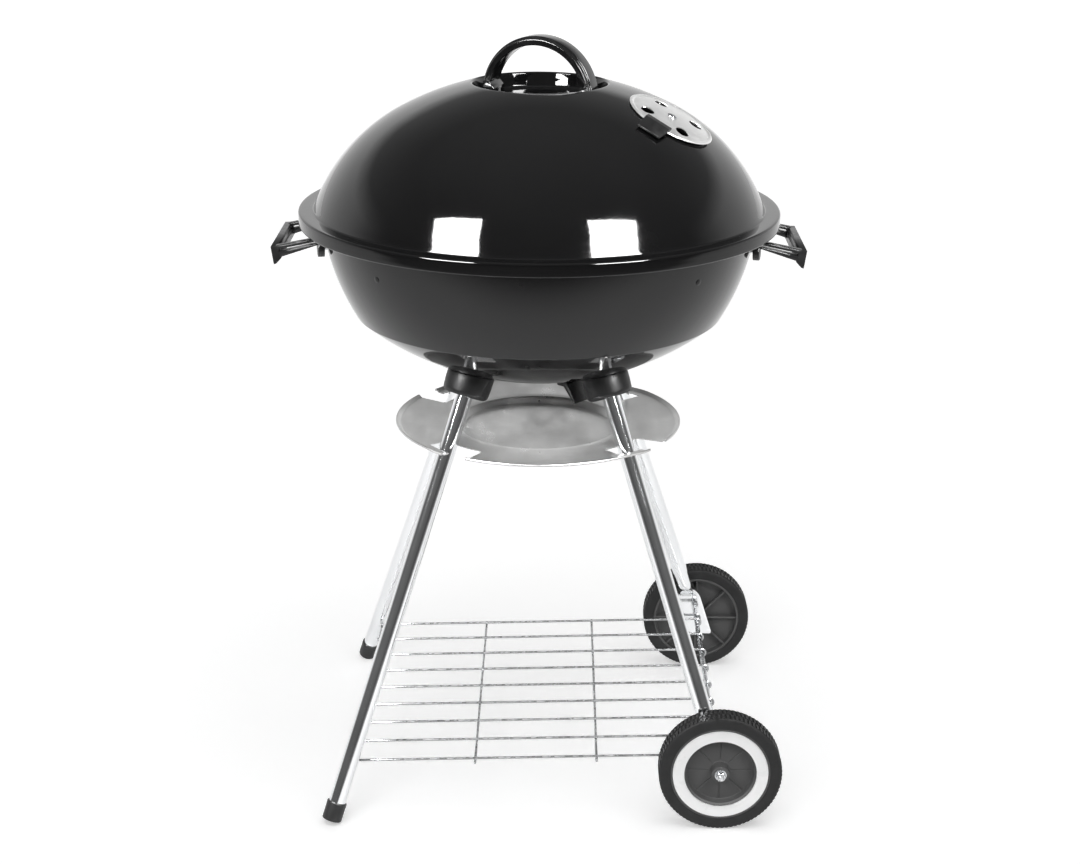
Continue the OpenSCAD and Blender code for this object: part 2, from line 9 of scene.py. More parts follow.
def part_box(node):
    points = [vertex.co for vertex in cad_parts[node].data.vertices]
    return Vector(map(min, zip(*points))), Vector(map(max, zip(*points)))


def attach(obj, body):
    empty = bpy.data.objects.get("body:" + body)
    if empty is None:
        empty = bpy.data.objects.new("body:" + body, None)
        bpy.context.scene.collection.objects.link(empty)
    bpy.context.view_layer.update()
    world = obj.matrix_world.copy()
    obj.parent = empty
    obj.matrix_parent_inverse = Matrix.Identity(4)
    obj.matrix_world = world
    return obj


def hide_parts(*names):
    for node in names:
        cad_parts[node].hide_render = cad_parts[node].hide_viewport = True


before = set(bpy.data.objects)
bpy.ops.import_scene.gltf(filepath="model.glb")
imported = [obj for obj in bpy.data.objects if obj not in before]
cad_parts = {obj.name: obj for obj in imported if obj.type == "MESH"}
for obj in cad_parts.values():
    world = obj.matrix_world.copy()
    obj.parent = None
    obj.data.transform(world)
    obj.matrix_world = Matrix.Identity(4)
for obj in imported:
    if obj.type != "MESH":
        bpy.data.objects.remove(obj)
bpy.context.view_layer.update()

bl_info = {
    "name": "Kettle Grill Maker",
    "version": (1, 0, 0),
    "blender": (4, 5, 0),
    "location": "View3D > Sidebar > Kettle Grill",
    "description": "Makes the finished pieces, materials and studio of a kettle charcoal grill",
    "category": "Object",
}

MM = 0.001


def span(node):
    """A CAD node's lowest and highest corners, in millimetres."""
    low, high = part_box(node)
    return np.array(low) / MM, np.array(high) / MM


LID_LOW, LID_HIGH = span("lid_shell")
BOWL_LOW, BOWL_HIGH = span("bowl_shell")
WHEEL_LOW, WHEEL_HIGH = span("front_tyre")
GRIP_HIGH = span("side_handle_right")[1]
PAN_HIGH = span("ash_pan")[1]
AXLE_LOW, AXLE_HIGH = span("axle")
SHELF_HIGH = span("wire_shelf")[1]


def length(name, text, value, low=0.0):
    """A size in millimetres for the sidebar."""
    return FloatProperty(name=name, description=text, default=float(value), min=low)


def colour(name, text, value):
    """A linear colour for the sidebar."""
    return FloatVectorProperty(name=name, description=text, default=value, size=3,
                               subtype="COLOR", min=0.0, max=1.0)


class KettleSizes(bpy.types.PropertyGroup):
    """Sizes of the grill's pieces, in millimetres."""
    lid_r: length("Lid radius", "Outer radius of the lid's skirt", LID_HIGH[0])
    hem_z: length("Hem height", "Lowest point of the lid's rolled hem", LID_LOW[2])
    dome_h: length("Dome rise", "Rise of the crown above the brim", 121)
    dome_r: length("Dome radius", "Radius of the dome at the brim", 208)
    crown_r: length("Crown arc", "Radius of the crown's arc", 276)
    switch_r: length("Arc switch", "Radius at which the shoulder's arc takes over", 130)
    dish_r: length("Dish radius", "Radius of the handle dish's floor", 58.5)
    dish_z: length("Dish height", "Height of the handle dish's floor", 647)
    sheet: length("Sheet", "Thickness of the enamelled sheet", 1.2)
    rim_z: length("Rim height", "Top of the bowl's rim", BOWL_HIGH[2])
    bowl_low: length("Bowl bottom", "Lowest point of the bowl", BOWL_LOW[2])
    bowl_r: length("Bowl radius", "Outer radius of the bowl's wall at the rim", 201)
    crease_r: length("Crease radius", "Radius of the crease round the bowl", 172)
    crease_z: length("Crease height", "Height of the crease round the bowl", 450)
    wheel_r: length("Wheel radius", "Radius of the wheels", (WHEEL_HIGH[2] - WHEEL_LOW[2]) / 2)
    tyre_w: length("Tyre width", "Width of the tyres", WHEEL_HIGH[1] - WHEEL_LOW[1])
    leg_r: length("Leg radius", "Radius of the leg tubes", 8)
    pan_r: length("Pan radius", "Radius of the ash pan", PAN_HIGH[0])
    turns: IntProperty(name="Round steps", description="Steps round the large turned shapes",
                       default=220, min=48)


class KettleColours(bpy.types.PropertyGroup):
    """Colours of the grill's finishes."""
    enamel: colour("Enamel", "Gloss enamel of the lid and bowl", (0.0075, 0.0075, 0.0078))
    plastic: colour("Plastic", "Handles, sockets and caps", (0.012, 0.012, 0.0125))
    chrome: colour("Chrome", "Leg tubes and shelf wire", (0.83, 0.84, 0.85))
    pan: colour("Pan", "Aluminium of the ash pan", (0.62, 0.62, 0.615))
    disc: colour("Damper", "Aluminium of the damper discs", (0.83, 0.83, 0.825))
    ring: colour("Wheel ring", "Pale ring of the wheels", (0.93, 0.93, 0.93))
    rubber: colour("Tyre", "Tyres of the wheels", (0.010, 0.010, 0.0103))


class StudioSettings(bpy.types.PropertyGroup):
    """Light and camera of the studio."""
    lens: FloatProperty(name="Lens", description="Focal length", default=64.96, min=10,
                        subtype="DISTANCE_CAMERA")
    window: FloatProperty(name="Window strength", description="Strength of the two soft windows",
                          default=60.0, min=0)
    top: FloatProperty(name="Top strength", description="Power of the overhead light, in watts",
                       default=50.0, min=0)
    fill: FloatProperty(name="Fill strength", description="Power of the front light, in watts",
                        default=34.0, min=0)


# ---------------------------------------------------------------- shapes

def unit(v):
    """A vector, or rows of vectors, at length one."""
    v = np.asarray(v, float)
    return v / np.linalg.norm(v, axis=-1, keepdims=True)


def arc(centre, r, start, end, steps):
    """Points on a circle of radius r from one angle to another, in degrees, anticlockwise from +X."""
    a = np.radians(np.linspace(start, end, steps + 1))
    return np.stack([centre[0] + r * np.cos(a), centre[1] + r * np.sin(a)], -1)


def rounded(corners, radii, steps=6):
    """A line through corners whose inner corners give way to arcs that touch both neighbouring
    lines: each arc's centre lies on the corner's bisector, at radius over sine of half the angle."""
    p = np.asarray(corners, float)
    out = [p[:1]]
    for k in range(1, len(p) - 1):
        r = radii[k - 1]
        u, v = unit(p[k - 1] - p[k]), unit(p[k + 1] - p[k])
        half = 0.5 * math.acos(max(-1.0, min(1.0, float(u @ v))))
        if r <= 0 or half > math.pi / 2 - 1e-3:
            out.append(p[k:k + 1])
            continue
        middle = p[k] + unit(u + v) * r / math.sin(half)
        a, b = p[k] + u * r / math.tan(half) - middle, p[k] + v * r / math.tan(half) - middle
        w = math.pi - 2 * half
        t = np.linspace(0, 1, steps + 1)[:, None]
        out.append(middle + (np.sin((1 - t) * w) * a + np.sin(t * w) * b) / math.sin(w))
    out.append(p[-1:])
    return np.vstack(out)


def rounded_loop(corners, radius, steps=4):
    """A closed outline with every corner turned to an arc of one radius."""
    p = np.asarray(corners, float)
    wrapped = np.vstack([(p[-1] + p[0])[None] / 2, p, (p[-1] + p[0])[None] / 2])
    return rounded(wrapped, [radius] * len(p), steps)[:-1]


def refined(line, step):
    """The same line with extra points, so that no stretch of it is longer than step."""
    gaps = np.linalg.norm(np.diff(line, axis=0), axis=1)
    parts = np.maximum(1, np.ceil(gaps / step)).astype(int)
    at = np.concatenate([k + np.arange(n) / n for k, n in enumerate(parts)] + [[len(line) - 1]])
    return np.stack([np.interp(at, np.arange(len(line)), line[:, k]) for k in range(line.shape[1])], -1)


def circle_meet(c1, r1, c2, r2):
    """The point with the larger x where two circles cross, by the chord through both."""
    c1, c2 = np.asarray(c1, float), np.asarray(c2, float)
    d = np.linalg.norm(c2 - c1)
    along = (r1 * r1 - r2 * r2 + d * d) / (2 * d)
    side = math.sqrt(r1 * r1 - along * along)
    u = (c2 - c1) / d
    both = [c1 + along * u + s * side * np.array([-u[1], u[0]]) for s in (-1, 1)]
    return max(both, key=lambda q: q[0])


def turned(profile, angles):
    """A profile of radius and height carried round the vertical axis: x = r cos a, y = r sin a."""
    a = np.asarray(angles)[None, :]
    r, z = profile[:, :1], profile[:, 1:2]
    return np.stack([r * np.cos(a), r * np.sin(a), z + 0 * a], -1)


def round_angles(count):
    """Evenly spaced angles all the way round, without the last."""
    return np.arange(count) * 2 * math.pi / count


def net(rings, first=0, wrap_rings=False, wrap=True):
    """Four-sided faces over a grid of points: rings by points, each ring closed on itself if wrap.
    A face's front is on the side of (along the rings) x (round the ring)."""
    rows, cols = rings.shape[:2]
    i, j = np.meshgrid(np.arange(rows if wrap_rings else rows - 1),
                       np.arange(cols if wrap else cols - 1), indexing="ij")
    i2, j2 = (i + 1) % rows, (j + 1) % cols
    quads = np.stack([i * cols + j, i2 * cols + j, i2 * cols + j2, i * cols + j2], -1)
    return quads.reshape(-1, 4) + first


def fan(ring_start, cols, apex, flip):
    """Three-sided faces from a ring of points to one apex, written as fours with a doubled end."""
    j = np.arange(cols)
    a, b = ring_start + j, ring_start + (j + 1) % cols
    c = np.full(cols, apex)
    return np.stack([b, a, c, c] if flip else [a, b, c, c], -1)


def skin(rings, start_cap=False, end_cap=False, wrap_rings=False):
    """Points, faces and caps of a surface given as a stack of closed rings. A cap closes an end
    ring with one flat face."""
    rows, cols = rings.shape[:2]
    caps = [list(range(cols))] if start_cap else []
    if end_cap:
        caps.append(list(range(rows * cols - 1, (rows - 1) * cols - 1, -1)))
    return rings.reshape(-1, 3), net(rings, 0, wrap_rings), caps


def turned_skin(profile, angles):
    """A turned surface whose profile starts on the axis: the first point becomes the pole."""
    points, faces, caps = skin(turned(profile[1:], angles))
    points = np.vstack([points, [0, 0, profile[0, 1]]])
    return points, np.vstack([faces, fan(0, len(angles), len(points) - 1, False)]), caps


def outward(part):
    """A closed shape with its faces turned to the outside: the signed volume, summed as corner
    times the cross product of the next two, must be positive."""
    points, faces, caps = part
    a, b, c, d = (points[faces[:, k]] for k in range(4))
    volume = (a * np.cross(b, c)).sum() + (a * np.cross(c, d)).sum()
    for cap in caps:
        q = points[cap]
        volume += (q[0] * np.cross(q[1:-1], q[2:])).sum()
    return part if volume > 0 else (points, faces[:, ::-1], [cap[::-1] for cap in caps])


def joined(parts):
    """Several shapes as one."""
    shift, points, faces, caps = 0, [], [], []
    for p, f, c in parts:
        points.append(p)
        faces.append(f + shift)
        caps += [[k + shift for k in cap] for cap in c]
        shift += len(p)
    return np.vstack(points), np.vstack(faces), caps


def with_holes(part, middles, axis, radius):
    """The part with round holes: faces with every corner inside a hole are dropped, and corners
    of the others that lie inside are moved straight out to the hole's edge."""
    points, faces = part[0].copy(), part[1]
    for middle in middles:
        rel = points - middle
        along = rel @ axis
        flat = rel - along[:, None] * axis
        far = np.linalg.norm(flat, axis=1)
        inside = (far < radius) & (np.abs(along) < 15)
        faces = faces[~inside[faces].all(1)]
        scale = radius / np.maximum(far[inside], 1e-6)
        points[inside] = middle + along[inside, None] * axis + flat[inside] * scale[:, None]
    used, faces = np.unique(faces, return_inverse=True)
    return points[used], faces.reshape(-1, 4), []


def carried(path, section, side):
    """A closed outline carried along a path: at each point the outline's first axis is side made
    square to the path, and its second is the path's direction times the first. section may be one
    outline or one for each point of the path."""
    path = np.asarray(path, float)
    way = unit(np.gradient(path, axis=0))
    side = np.broadcast_to(np.asarray(side, float), path.shape)
    first = unit(side - (side * way).sum(1, keepdims=True) * way)
    second = np.cross(way, first)
    section = np.broadcast_to(section, (len(path),) + np.shape(section)[-2:])
    return (path[:, None] + section[..., :1] * first[:, None] + section[..., 1:] * second[:, None])


def tube(path, radius, sides=12, side=(0, 1, 0)):
    """A round bar along a path, closed at both ends with a small chamfer."""
    a = round_angles(sides)
    circle = np.stack([np.cos(a), np.sin(a)], -1)
    path = np.asarray(path, float)
    ends = unit(np.stack([path[1] - path[0], path[-1] - path[-2]]))
    chamfer = radius * 0.25
    path = np.vstack([path[:1], path[:1] + ends[0] * chamfer, path[1:-1],
                      path[-1:] - ends[1] * chamfer, path[-1:]])
    r = np.full(len(path), float(radius))
    r[[0, -1]] = radius - chamfer
    return outward(skin(carried(path, circle * r[:, None, None], side), True, True))


def inset(outline, by):
    """A closed outline moved inward by a distance along its corner normals."""
    way = unit(np.roll(outline, -1, 0) - np.roll(outline, 1, 0))
    x, y = outline[:, 0], outline[:, 1]
    hand = np.sign((x * np.roll(y, -1) - y * np.roll(x, -1)).sum())
    return outline + by * hand * np.stack([-way[:, 1], way[:, 0]], -1)


def slab(outline, low, high, place, edge=0.3):
    """A flat shape with bevelled edges: an outline in two directions, carried from low to high in
    the third, its end rings moved in by edge. place turns the three into points of the frame."""
    small = inset(outline, edge)
    rows = [place(o[:, 0], o[:, 1], np.full(len(o), h)) for o, h in
            ((small, low), (outline, low + edge), (outline, high - edge), (small, high))]
    return outward(skin(np.stack(rows), True, True))


def window_slab(outer, inner, low, high, place, edge=0.4):
    """A flat shape with a window and bevelled edges: eight rings, each joined to the next and the
    last to the first."""
    small, wide = inset(outer, edge), inset(inner, -edge)
    rows = [place(o[:, 0], o[:, 1], np.full(len(o), h)) for o, h in
            ((small, low), (outer, low + edge), (outer, high - edge), (small, high),
             (wide, high), (inner, high - edge), (inner, low + edge), (wide, low))]
    return outward(skin(np.stack(rows), wrap_rings=True))


def smooth(x, low, high):
    """A soft step from 0 at low to 1 at high: 3t squared less 2t cubed."""
    t = np.clip((np.asarray(x, float) - low) / (high - low), 0, 1)
    return t * t * (3 - 2 * t)


# ---------------------------------------------------------------- pieces

def piece(name, part, body, material, nodes=(), wall=0.0, crease=38.0):
    """Puts a shape, given in millimetres, into the scene: a wall thickness is added behind its
    front, edges sharper than crease stay sharp, and it rides on its CAD body."""
    points, faces, caps = part
    mesh = bpy.data.meshes.new(name)
    loops = [f[:3] if f[2] == f[3] else f for f in faces.tolist()]
    mesh.from_pydata((points * MM).tolist(), [], loops + caps)
    mesh.materials.append(material)
    obj = bpy.data.objects.new(name, mesh)
    bpy.context.scene.collection.objects.link(obj)
    if wall:
        thick = obj.modifiers.new("Wall", "SOLIDIFY")
        thick.thickness = wall * MM
        thick.offset = -1
        thick.use_even_offset = True
        thick.use_quality_normals = True
    if wall:
        done = bpy.data.meshes.new_from_object(obj.evaluated_get(bpy.context.evaluated_depsgraph_get()))
        obj.modifiers.clear()
        obj.data = done
        done.name = name
        bpy.data.meshes.remove(mesh)
        mesh = done
    mesh.polygons.foreach_set("use_smooth", np.ones(len(mesh.polygons), bool))
    mesh.set_sharp_from_angle(angle=math.radians(crease))
    mesh.validate()
    mesh.update()
    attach(obj, body)
    if nodes:
        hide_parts(*nodes)
    return obj


# ---------------------------------------------------------------- finishes

def finish(name, base, rough, metal=0.0, ior=1.5, second=None, patch=12.0, patch_stretch=(1, 1, 1),
           rough_range=0.0, rough_size=40.0, bumps=(), coat=0.0, coat_rough=0.03, aniso=0.0):
    """A procedural finish in Object coordinates. The colour drifts between base and second over
    soft patches, the roughness drifts by rough_range, and each bump is a layer of noise given as
    size, stretch, strength and depth in metres."""
    mat = bpy.data.materials.get(name)
    if mat:
        return mat
    mat = bpy.data.materials.new(name)
    mat.use_nodes = True
    nodes, links = mat.node_tree.nodes, mat.node_tree.links
    shader = nodes["Principled BSDF"]
    shader.inputs["Metallic"].default_value = metal
    shader.inputs["IOR"].default_value = ior
    shader.inputs["Coat Weight"].default_value = coat
    shader.inputs["Coat Roughness"].default_value = coat_rough
    shader.inputs["Anisotropic"].default_value = aniso
    where = nodes.new("ShaderNodeTexCoord").outputs["Object"]

    def noise(size, stretch, detail=4.0):
        """A layer of soft noise."""
        mapping = nodes.new("ShaderNodeMapping")
        mapping.inputs["Scale"].default_value = stretch
        links.new(where, mapping.inputs["Vector"])
        tex = nodes.new("ShaderNodeTexNoise")
        tex.inputs["Scale"].default_value = size
        tex.inputs["Detail"].default_value = detail
        links.new(mapping.outputs["Vector"], tex.inputs["Vector"])
        return tex.outputs["Fac"]

    def spread(value, low, high):
        """The middle of a noise stretched to a range."""
        ramp = nodes.new("ShaderNodeMapRange")
        ramp.inputs["From Min"].default_value = 0.3
        ramp.inputs["From Max"].default_value = 0.7
        ramp.inputs["To Min"].default_value = low
        ramp.inputs["To Max"].default_value = high
        links.new(value, ramp.inputs["Value"])
        return ramp.outputs["Result"]

    mix = nodes.new("ShaderNodeMix")
    mix.data_type = "RGBA"
    mix.inputs["A"].default_value = (*base, 1)
    mix.inputs["B"].default_value = (*(second or base), 1)
    links.new(spread(noise(patch, patch_stretch, 6.0), 0.0, 1.0), mix.inputs["Factor"])
    links.new(mix.outputs["Result"], shader.inputs["Base Color"])
    links.new(spread(noise(rough_size, patch_stretch), max(0.02, rough - rough_range),
                     rough + rough_range), shader.inputs["Roughness"])
    normal = None
    for size, stretch, strength, depth in bumps:
        bump = nodes.new("ShaderNodeBump")
        bump.inputs["Strength"].default_value = strength
        bump.inputs["Distance"].default_value = depth
        links.new(noise(size, stretch), bump.inputs["Height"])
        if normal:
            links.new(normal, bump.inputs["Normal"])
        normal = bump.outputs["Normal"]
    if normal:
        links.new(normal, shader.inputs["Normal"])
    return mat


def shade(colour_value, factor):
    """A colour made lighter or darker by a factor."""
    return tuple(min(1.0, c * factor) for c in colour_value)


def enamel():
    """Gloss enamel of the lid and bowl."""
    c = tuple(bpy.context.scene.kettle_colours.enamel)
    return finish("black_enamel", c, 0.055, ior=1.42, second=shade(c, 1.5), patch=9,
                  rough_range=0.02, rough_size=26,
                  bumps=((38, (1, 1, 1), 0.10, 0.0009), (900, (1, 1, 1), 0.03, 0.0001)))


def hot_plastic():
    """Satin moulding of the side handles."""
    c = tuple(bpy.context.scene.kettle_colours.plastic)
    return finish("moulded_plastic", c, 0.34, ior=1.48, second=shade(c, 1.7), patch=60,
                  rough_range=0.07, rough_size=120,
                  bumps=((1600, (1, 1, 1), 0.16, 0.00012), (120, (1, 1, 1), 0.05, 0.0003)))


def arch_plastic():
    """Polished moulding of the lid handle."""
    c = tuple(bpy.context.scene.kettle_colours.plastic)
    return finish("polished_plastic", c, 0.13, ior=1.5, second=shade(c, 1.4), patch=40,
                  rough_range=0.05, rough_size=90,
                  bumps=((160, (1, 1, 1), 0.10, 0.0004), (1500, (1, 1, 1), 0.05, 0.0001)))


def boot_plastic():
    """Dull moulding of boots, cups and tabs."""
    c = shade(tuple(bpy.context.scene.kettle_colours.plastic), 0.9)
    return finish("boot_plastic", c, 0.42, ior=1.4, second=shade(c, 1.8), patch=70,
                  rough_range=0.08, rough_size=150,
                  bumps=((1400, (1, 1, 1), 0.22, 0.00015), (140, (1, 1, 1), 0.08, 0.0005)))


def hub_plastic():
    """Dull moulding of the hubs."""
    c = shade(tuple(bpy.context.scene.kettle_colours.plastic), 0.6)
    return finish("hub_plastic", c, 0.42, ior=1.3, second=shade(c, 1.5), patch=50,
                  rough_range=0.08, rough_size=110,
                  bumps=((1300, (1, 1, 1), 0.2, 0.00015),))


def chrome():
    """Chrome of the leg tubes."""
    c = tuple(bpy.context.scene.kettle_colours.chrome)
    return finish("chrome_plate", c, 0.085, metal=1.0, second=shade(c, 0.86), patch=16,
                  patch_stretch=(1, 1, 0.25), rough_range=0.035, rough_size=60,
                  bumps=((260, (1, 1, 0.06), 0.05, 0.0002),))


def wire_chrome():
    """Plating of the wires."""
    c = shade(tuple(bpy.context.scene.kettle_colours.chrome), 0.52)
    return finish("plated_wire", c, 0.28, metal=1.0, second=shade(c, 0.75), patch=90,
                  rough_range=0.06, rough_size=200, bumps=((700, (1, 1, 1), 0.12, 0.0002),))


def zinc():
    """Bright zinc of the fixings."""
    return finish("bright_zinc", (0.62, 0.63, 0.64), 0.24, metal=1.0, second=(0.46, 0.47, 0.48),
                  patch=160, rough_range=0.08, rough_size=300,
                  bumps=((900, (1, 1, 1), 0.15, 0.0001),))


def dull_steel():
    """Bare steel inside the kettle."""
    return finish("dull_steel", (0.38, 0.375, 0.365), 0.42, metal=1.0, second=(0.27, 0.262, 0.252),
                  patch=60, rough_range=0.1, rough_size=140,
                  bumps=((500, (1, 1, 1), 0.2, 0.0002),))


def pan_metal():
    """Rolled metal of the ash pan."""
    c = tuple(bpy.context.scene.kettle_colours.pan)
    return finish("rolled_aluminium", c, 0.36, metal=1.0, second=shade(c, 0.78), patch=26,
                  patch_stretch=(1, 0.35, 1), rough_range=0.09, rough_size=50,
                  bumps=((24, (1, 1, 1), 0.16, 0.004), (420, (1, 0.06, 1), 0.10, 0.0002)))


def disc_metal():
    """Satin metal of the damper discs."""
    c = tuple(bpy.context.scene.kettle_colours.disc)
    return finish("satin_aluminium", c, 0.4, metal=0.85, second=shade(c, 0.9), patch=60,
                  rough_range=0.07, rough_size=120,
                  bumps=((700, (0.08, 1, 1), 0.12, 0.0002), (90, (1, 1, 1), 0.05, 0.0006)))


def tyre_rubber():
    """Rubber of the tyres."""
    c = tuple(bpy.context.scene.kettle_colours.rubber)
    return finish("tyre_rubber", c, 0.52, ior=1.32, second=shade(c, 1.6), patch=70,
                  rough_range=0.1, rough_size=160,
                  bumps=((1500, (1, 1, 1), 0.25, 0.0002), (200, (1, 1, 1), 0.08, 0.0004)))


def ring_plastic():
    """White rings of the wheels."""
    c = tuple(bpy.context.scene.kettle_colours.ring)
    return finish("white_plastic", c, 0.3, second=shade(c, 0.95), patch=50, rough_range=0.05,
                  rough_size=90, bumps=((900, (1, 1, 1), 0.05, 0.0001),))


# ---------------------------------------------------------------- the grill's own geometry

LID_TURN = math.radians(-22)
DAMPER_TILT = math.radians(27.3)
HOLE_RING = 26.0
HOLE_R = 6.5
LEG_SLOPE = np.array([0.3185, 0.2866])
FOOT = np.array([189.4, 178.3])
LEG_TOP = 398.0
PLATE_Y = 158.0
GRIP_Z = 518.3
PAD_REACH = 199.6
BRACKET_Z = 512.0
BEHIND = {"front": -1, "rear": 1}
SIDE = {"left": -1, "right": 1}


def brim_z(s):
    """Height of the lid brim's upper face: 12.3 above the hem's lowest point."""
    return s.hem_z + 12.3


def crown_middle(s):
    """Height of the centre of the crown's arc."""
    return brim_z(s) + s.dome_h - s.crown_r


def shoulder(s):
    """Centre and radius of the shoulder's arc, which touches the crown's arc at the switch and
    ends at the brim: radius = distance squared over twice the drop along the switch's normal."""
    a = math.asin(s.switch_r / s.crown_r)
    out = np.array([math.sin(a), math.cos(a)])
    start = np.array([0, crown_middle(s)]) + s.crown_r * out
    drop = np.array([s.dome_r, brim_z(s)]) - start
    r = -(drop @ drop) / (2 * (drop @ out))
    return start - r * out, r


def cap_sphere(s):
    """Centre height and radius of the bowl's bottom, a sphere's cap through the crease."""
    rise = s.crease_z - s.bowl_low
    r = (s.crease_r ** 2 + rise ** 2) / (2 * rise)
    return s.bowl_low + r, r


def wall_circle(s):
    """Centre and radius of the arc of the bowl's wall, through the rim and the crease."""
    a, b, r = np.array([s.bowl_r, s.rim_z - 9]), np.array([s.crease_r, s.crease_z]), 215.0
    d = b - a
    h = np.linalg.norm(d) / 2
    return (a + b) / 2 + math.sqrt(r * r - h * h) * np.array([d[1], -d[0]]) / np.linalg.norm(d), r


def leg_at(corner, z):
    """A point, or points, of a leg's axis at height z, in the corner given by its two signs."""
    z = np.asarray(z, float)
    return np.stack([corner[0] * (FOOT[0] - LEG_SLOPE[0] * z),
                     corner[1] * (FOOT[1] - LEG_SLOPE[1] * z), z + 0.0], -1)


def leg_axes(corner):
    """Three square axes of a leg: two across it and one up it."""
    up = unit(leg_at(corner, 1.0) - leg_at(corner, 0.0))
    across = unit(np.cross(up, [0, 0, 1]))
    return np.cross(across, up), across, up


def damper_axes(top):
    """The centre of curvature and three axes of a damper: two across its disc and one out of it."""
    s = bpy.context.scene.kettle_sizes
    if not top:
        return np.array([0, 0, cap_sphere(s)[0]]), np.array([1.0, 0, 0]), np.array([0, -1.0, 0]), \
            np.array([0, 0, -1.0])
    c, w = math.cos(LID_TURN), math.sin(LID_TURN)
    out = np.array([math.sin(DAMPER_TILT) * c, math.sin(DAMPER_TILT) * w, math.cos(DAMPER_TILT)])
    second = np.array([-w, c, 0])
    return np.array([0, 0, crown_middle(s)]), np.cross(second, out), second, out


def damper_hole_middles(top, r):
    """Middles of a damper's four holes on a sphere of radius r about its centre of curvature."""
    centre, first, second, out = damper_axes(top)
    a = np.radians([45, 135, 225, 315])[:, None]
    return centre + HOLE_RING * (np.cos(a) * first + np.sin(a) * second) + \
        math.sqrt(r * r - HOLE_RING ** 2) * out


def lid_place(x, y, z):
    """The lid's own turn: along the handle, across it and up become x, y and z of the frame."""
    c, w = math.cos(LID_TURN), math.sin(LID_TURN)
    return np.stack([c * x - w * y, w * x + c * y, z + 0 * x], -1)


class GRILL_OT_lid(bpy.types.Operator):
    """Makes the domed lid with its handle dish, flat brim, skirt and rolled hem"""
    bl_idname = "grill.lid"
    bl_label = "Lid"

    def execute(self, context):
        """The profile runs outward and down: dish floor, dish wall, crown arc, shoulder arc, brim,
        skirt, and a curl of 250 degrees round the hem. It is turned round the axis, the damper's
        holes are opened, and the sheet gets its thickness inwards."""
        s = context.scene.kettle_sizes
        top, crown = brim_z(s), crown_middle(s)
        centre, r2 = shoulder(s)
        lip = s.dish_r + 3.2

        def crown_z(r):
            """Height of the crown's arc at a radius."""
            return crown + math.sqrt(s.crown_r ** 2 - r * r)

        dish = rounded([[0, s.dish_z], [s.dish_r, s.dish_z], [lip, crown_z(lip)],
                        [lip + 8, crown_z(lip + 8)]], [3.2, 2.2], 7)
        a0 = math.degrees(math.asin((lip + 8) / s.crown_r))
        a1 = math.degrees(math.asin(s.switch_r / s.crown_r))
        crown_part = arc((0, crown), s.crown_r, 90 - a0, 90 - a1, 60)
        end = math.degrees(math.atan2(top + 2.4 - centre[1],
                                      math.sqrt(r2 ** 2 - (top + 2.4 - centre[1]) ** 2)))
        shoulder_part = arc(centre, r2, 90 - a1, end, 54)
        brim = rounded([shoulder_part[-1], [s.dome_r + 0.2, top], [s.lid_r, top],
                        [s.lid_r, s.hem_z + 1.5]], [1.6, 2.0], 5)
        hem = arc((s.lid_r - 1.5, s.hem_z + 1.5), 1.5, 0, -250, 16)
        profile = np.vstack([refined(dish, 5), crown_part[1:], shoulder_part[1:], refined(brim[1:], 3),
                             hem[1:]])
        near = LID_TURN + np.radians(np.linspace(-19.5, 19.5, 66))
        angles = np.unique(np.round(np.mod(np.concatenate([round_angles(s.turns - 60), near]),
                                           2 * math.pi), 5))
        part = turned_skin(profile, angles)
        axes = damper_axes(True)
        part = with_holes(part, damper_hole_middles(True, s.crown_r), axes[3], HOLE_R)
        piece("lid_dome", part, "lid", enamel(), ["lid_shell"], wall=s.sheet, crease=60)
        return {"FINISHED"}


class GRILL_OT_lid_handle(bpy.types.Operator):
    """Makes the arched lid handle with its raised rib and wide feet"""
    bl_idname = "grill.lid_handle"
    bl_label = "Lid handle"

    def execute(self, context):
        """A half circle of radius 50 carries an outline of 8 by 24: flat inside, a raised rib
        along the outside, and a flare to 14 by 26 over the lowest 12 of each foot."""
        s = context.scene.kettle_sizes
        base, middle, r = s.dish_z + 0.3, s.dish_z + 2, 50.0
        half = rounded_loop([[-4, -12], [1.6, -12], [2.2, -8.6], [4, -7.6], [4, 7.6], [2.2, 8.6],
                             [1.6, 12], [-4, 12]], 0.9, 4)
        t = np.linspace(0, math.pi, 73)
        foot = np.array([[-r, base], [-r, base + 0.9]])
        path = np.vstack([foot, np.stack([-r * np.cos(t), middle + r * np.sin(t)], -1), foot[::-1] * [-1, 1]])
        out = np.vstack([[[-1, 0]] * 2, np.stack([-np.cos(t), np.sin(t)], -1), [[1, 0]] * 2])
        lift = path[:, 1] - base
        flare = 1 - smooth(lift, 7.5, 14.0)
        across = half[None, :, 0] * np.ones((len(path), 1))
        grown = across * (1 + np.where(across < 0, 1.35, 0.12) * flare[:, None])
        wide = half[None, :, 1] * (1 + 0.085 * flare[:, None])
        tuck = 1 - 0.05 * (lift < 0.5)
        grown, wide = grown * tuck[:, None], wide * tuck[:, None]
        x = path[:, :1] + out[:, :1] * grown
        z = path[:, 1:] + out[:, 1:] * grown
        rings = lid_place(x, wide, z)
        piece("lid_arch_handle", outward(skin(rings, True, True)), "lid",
              arch_plastic(), ["lid_handle"], crease=50)
        return {"FINISHED"}


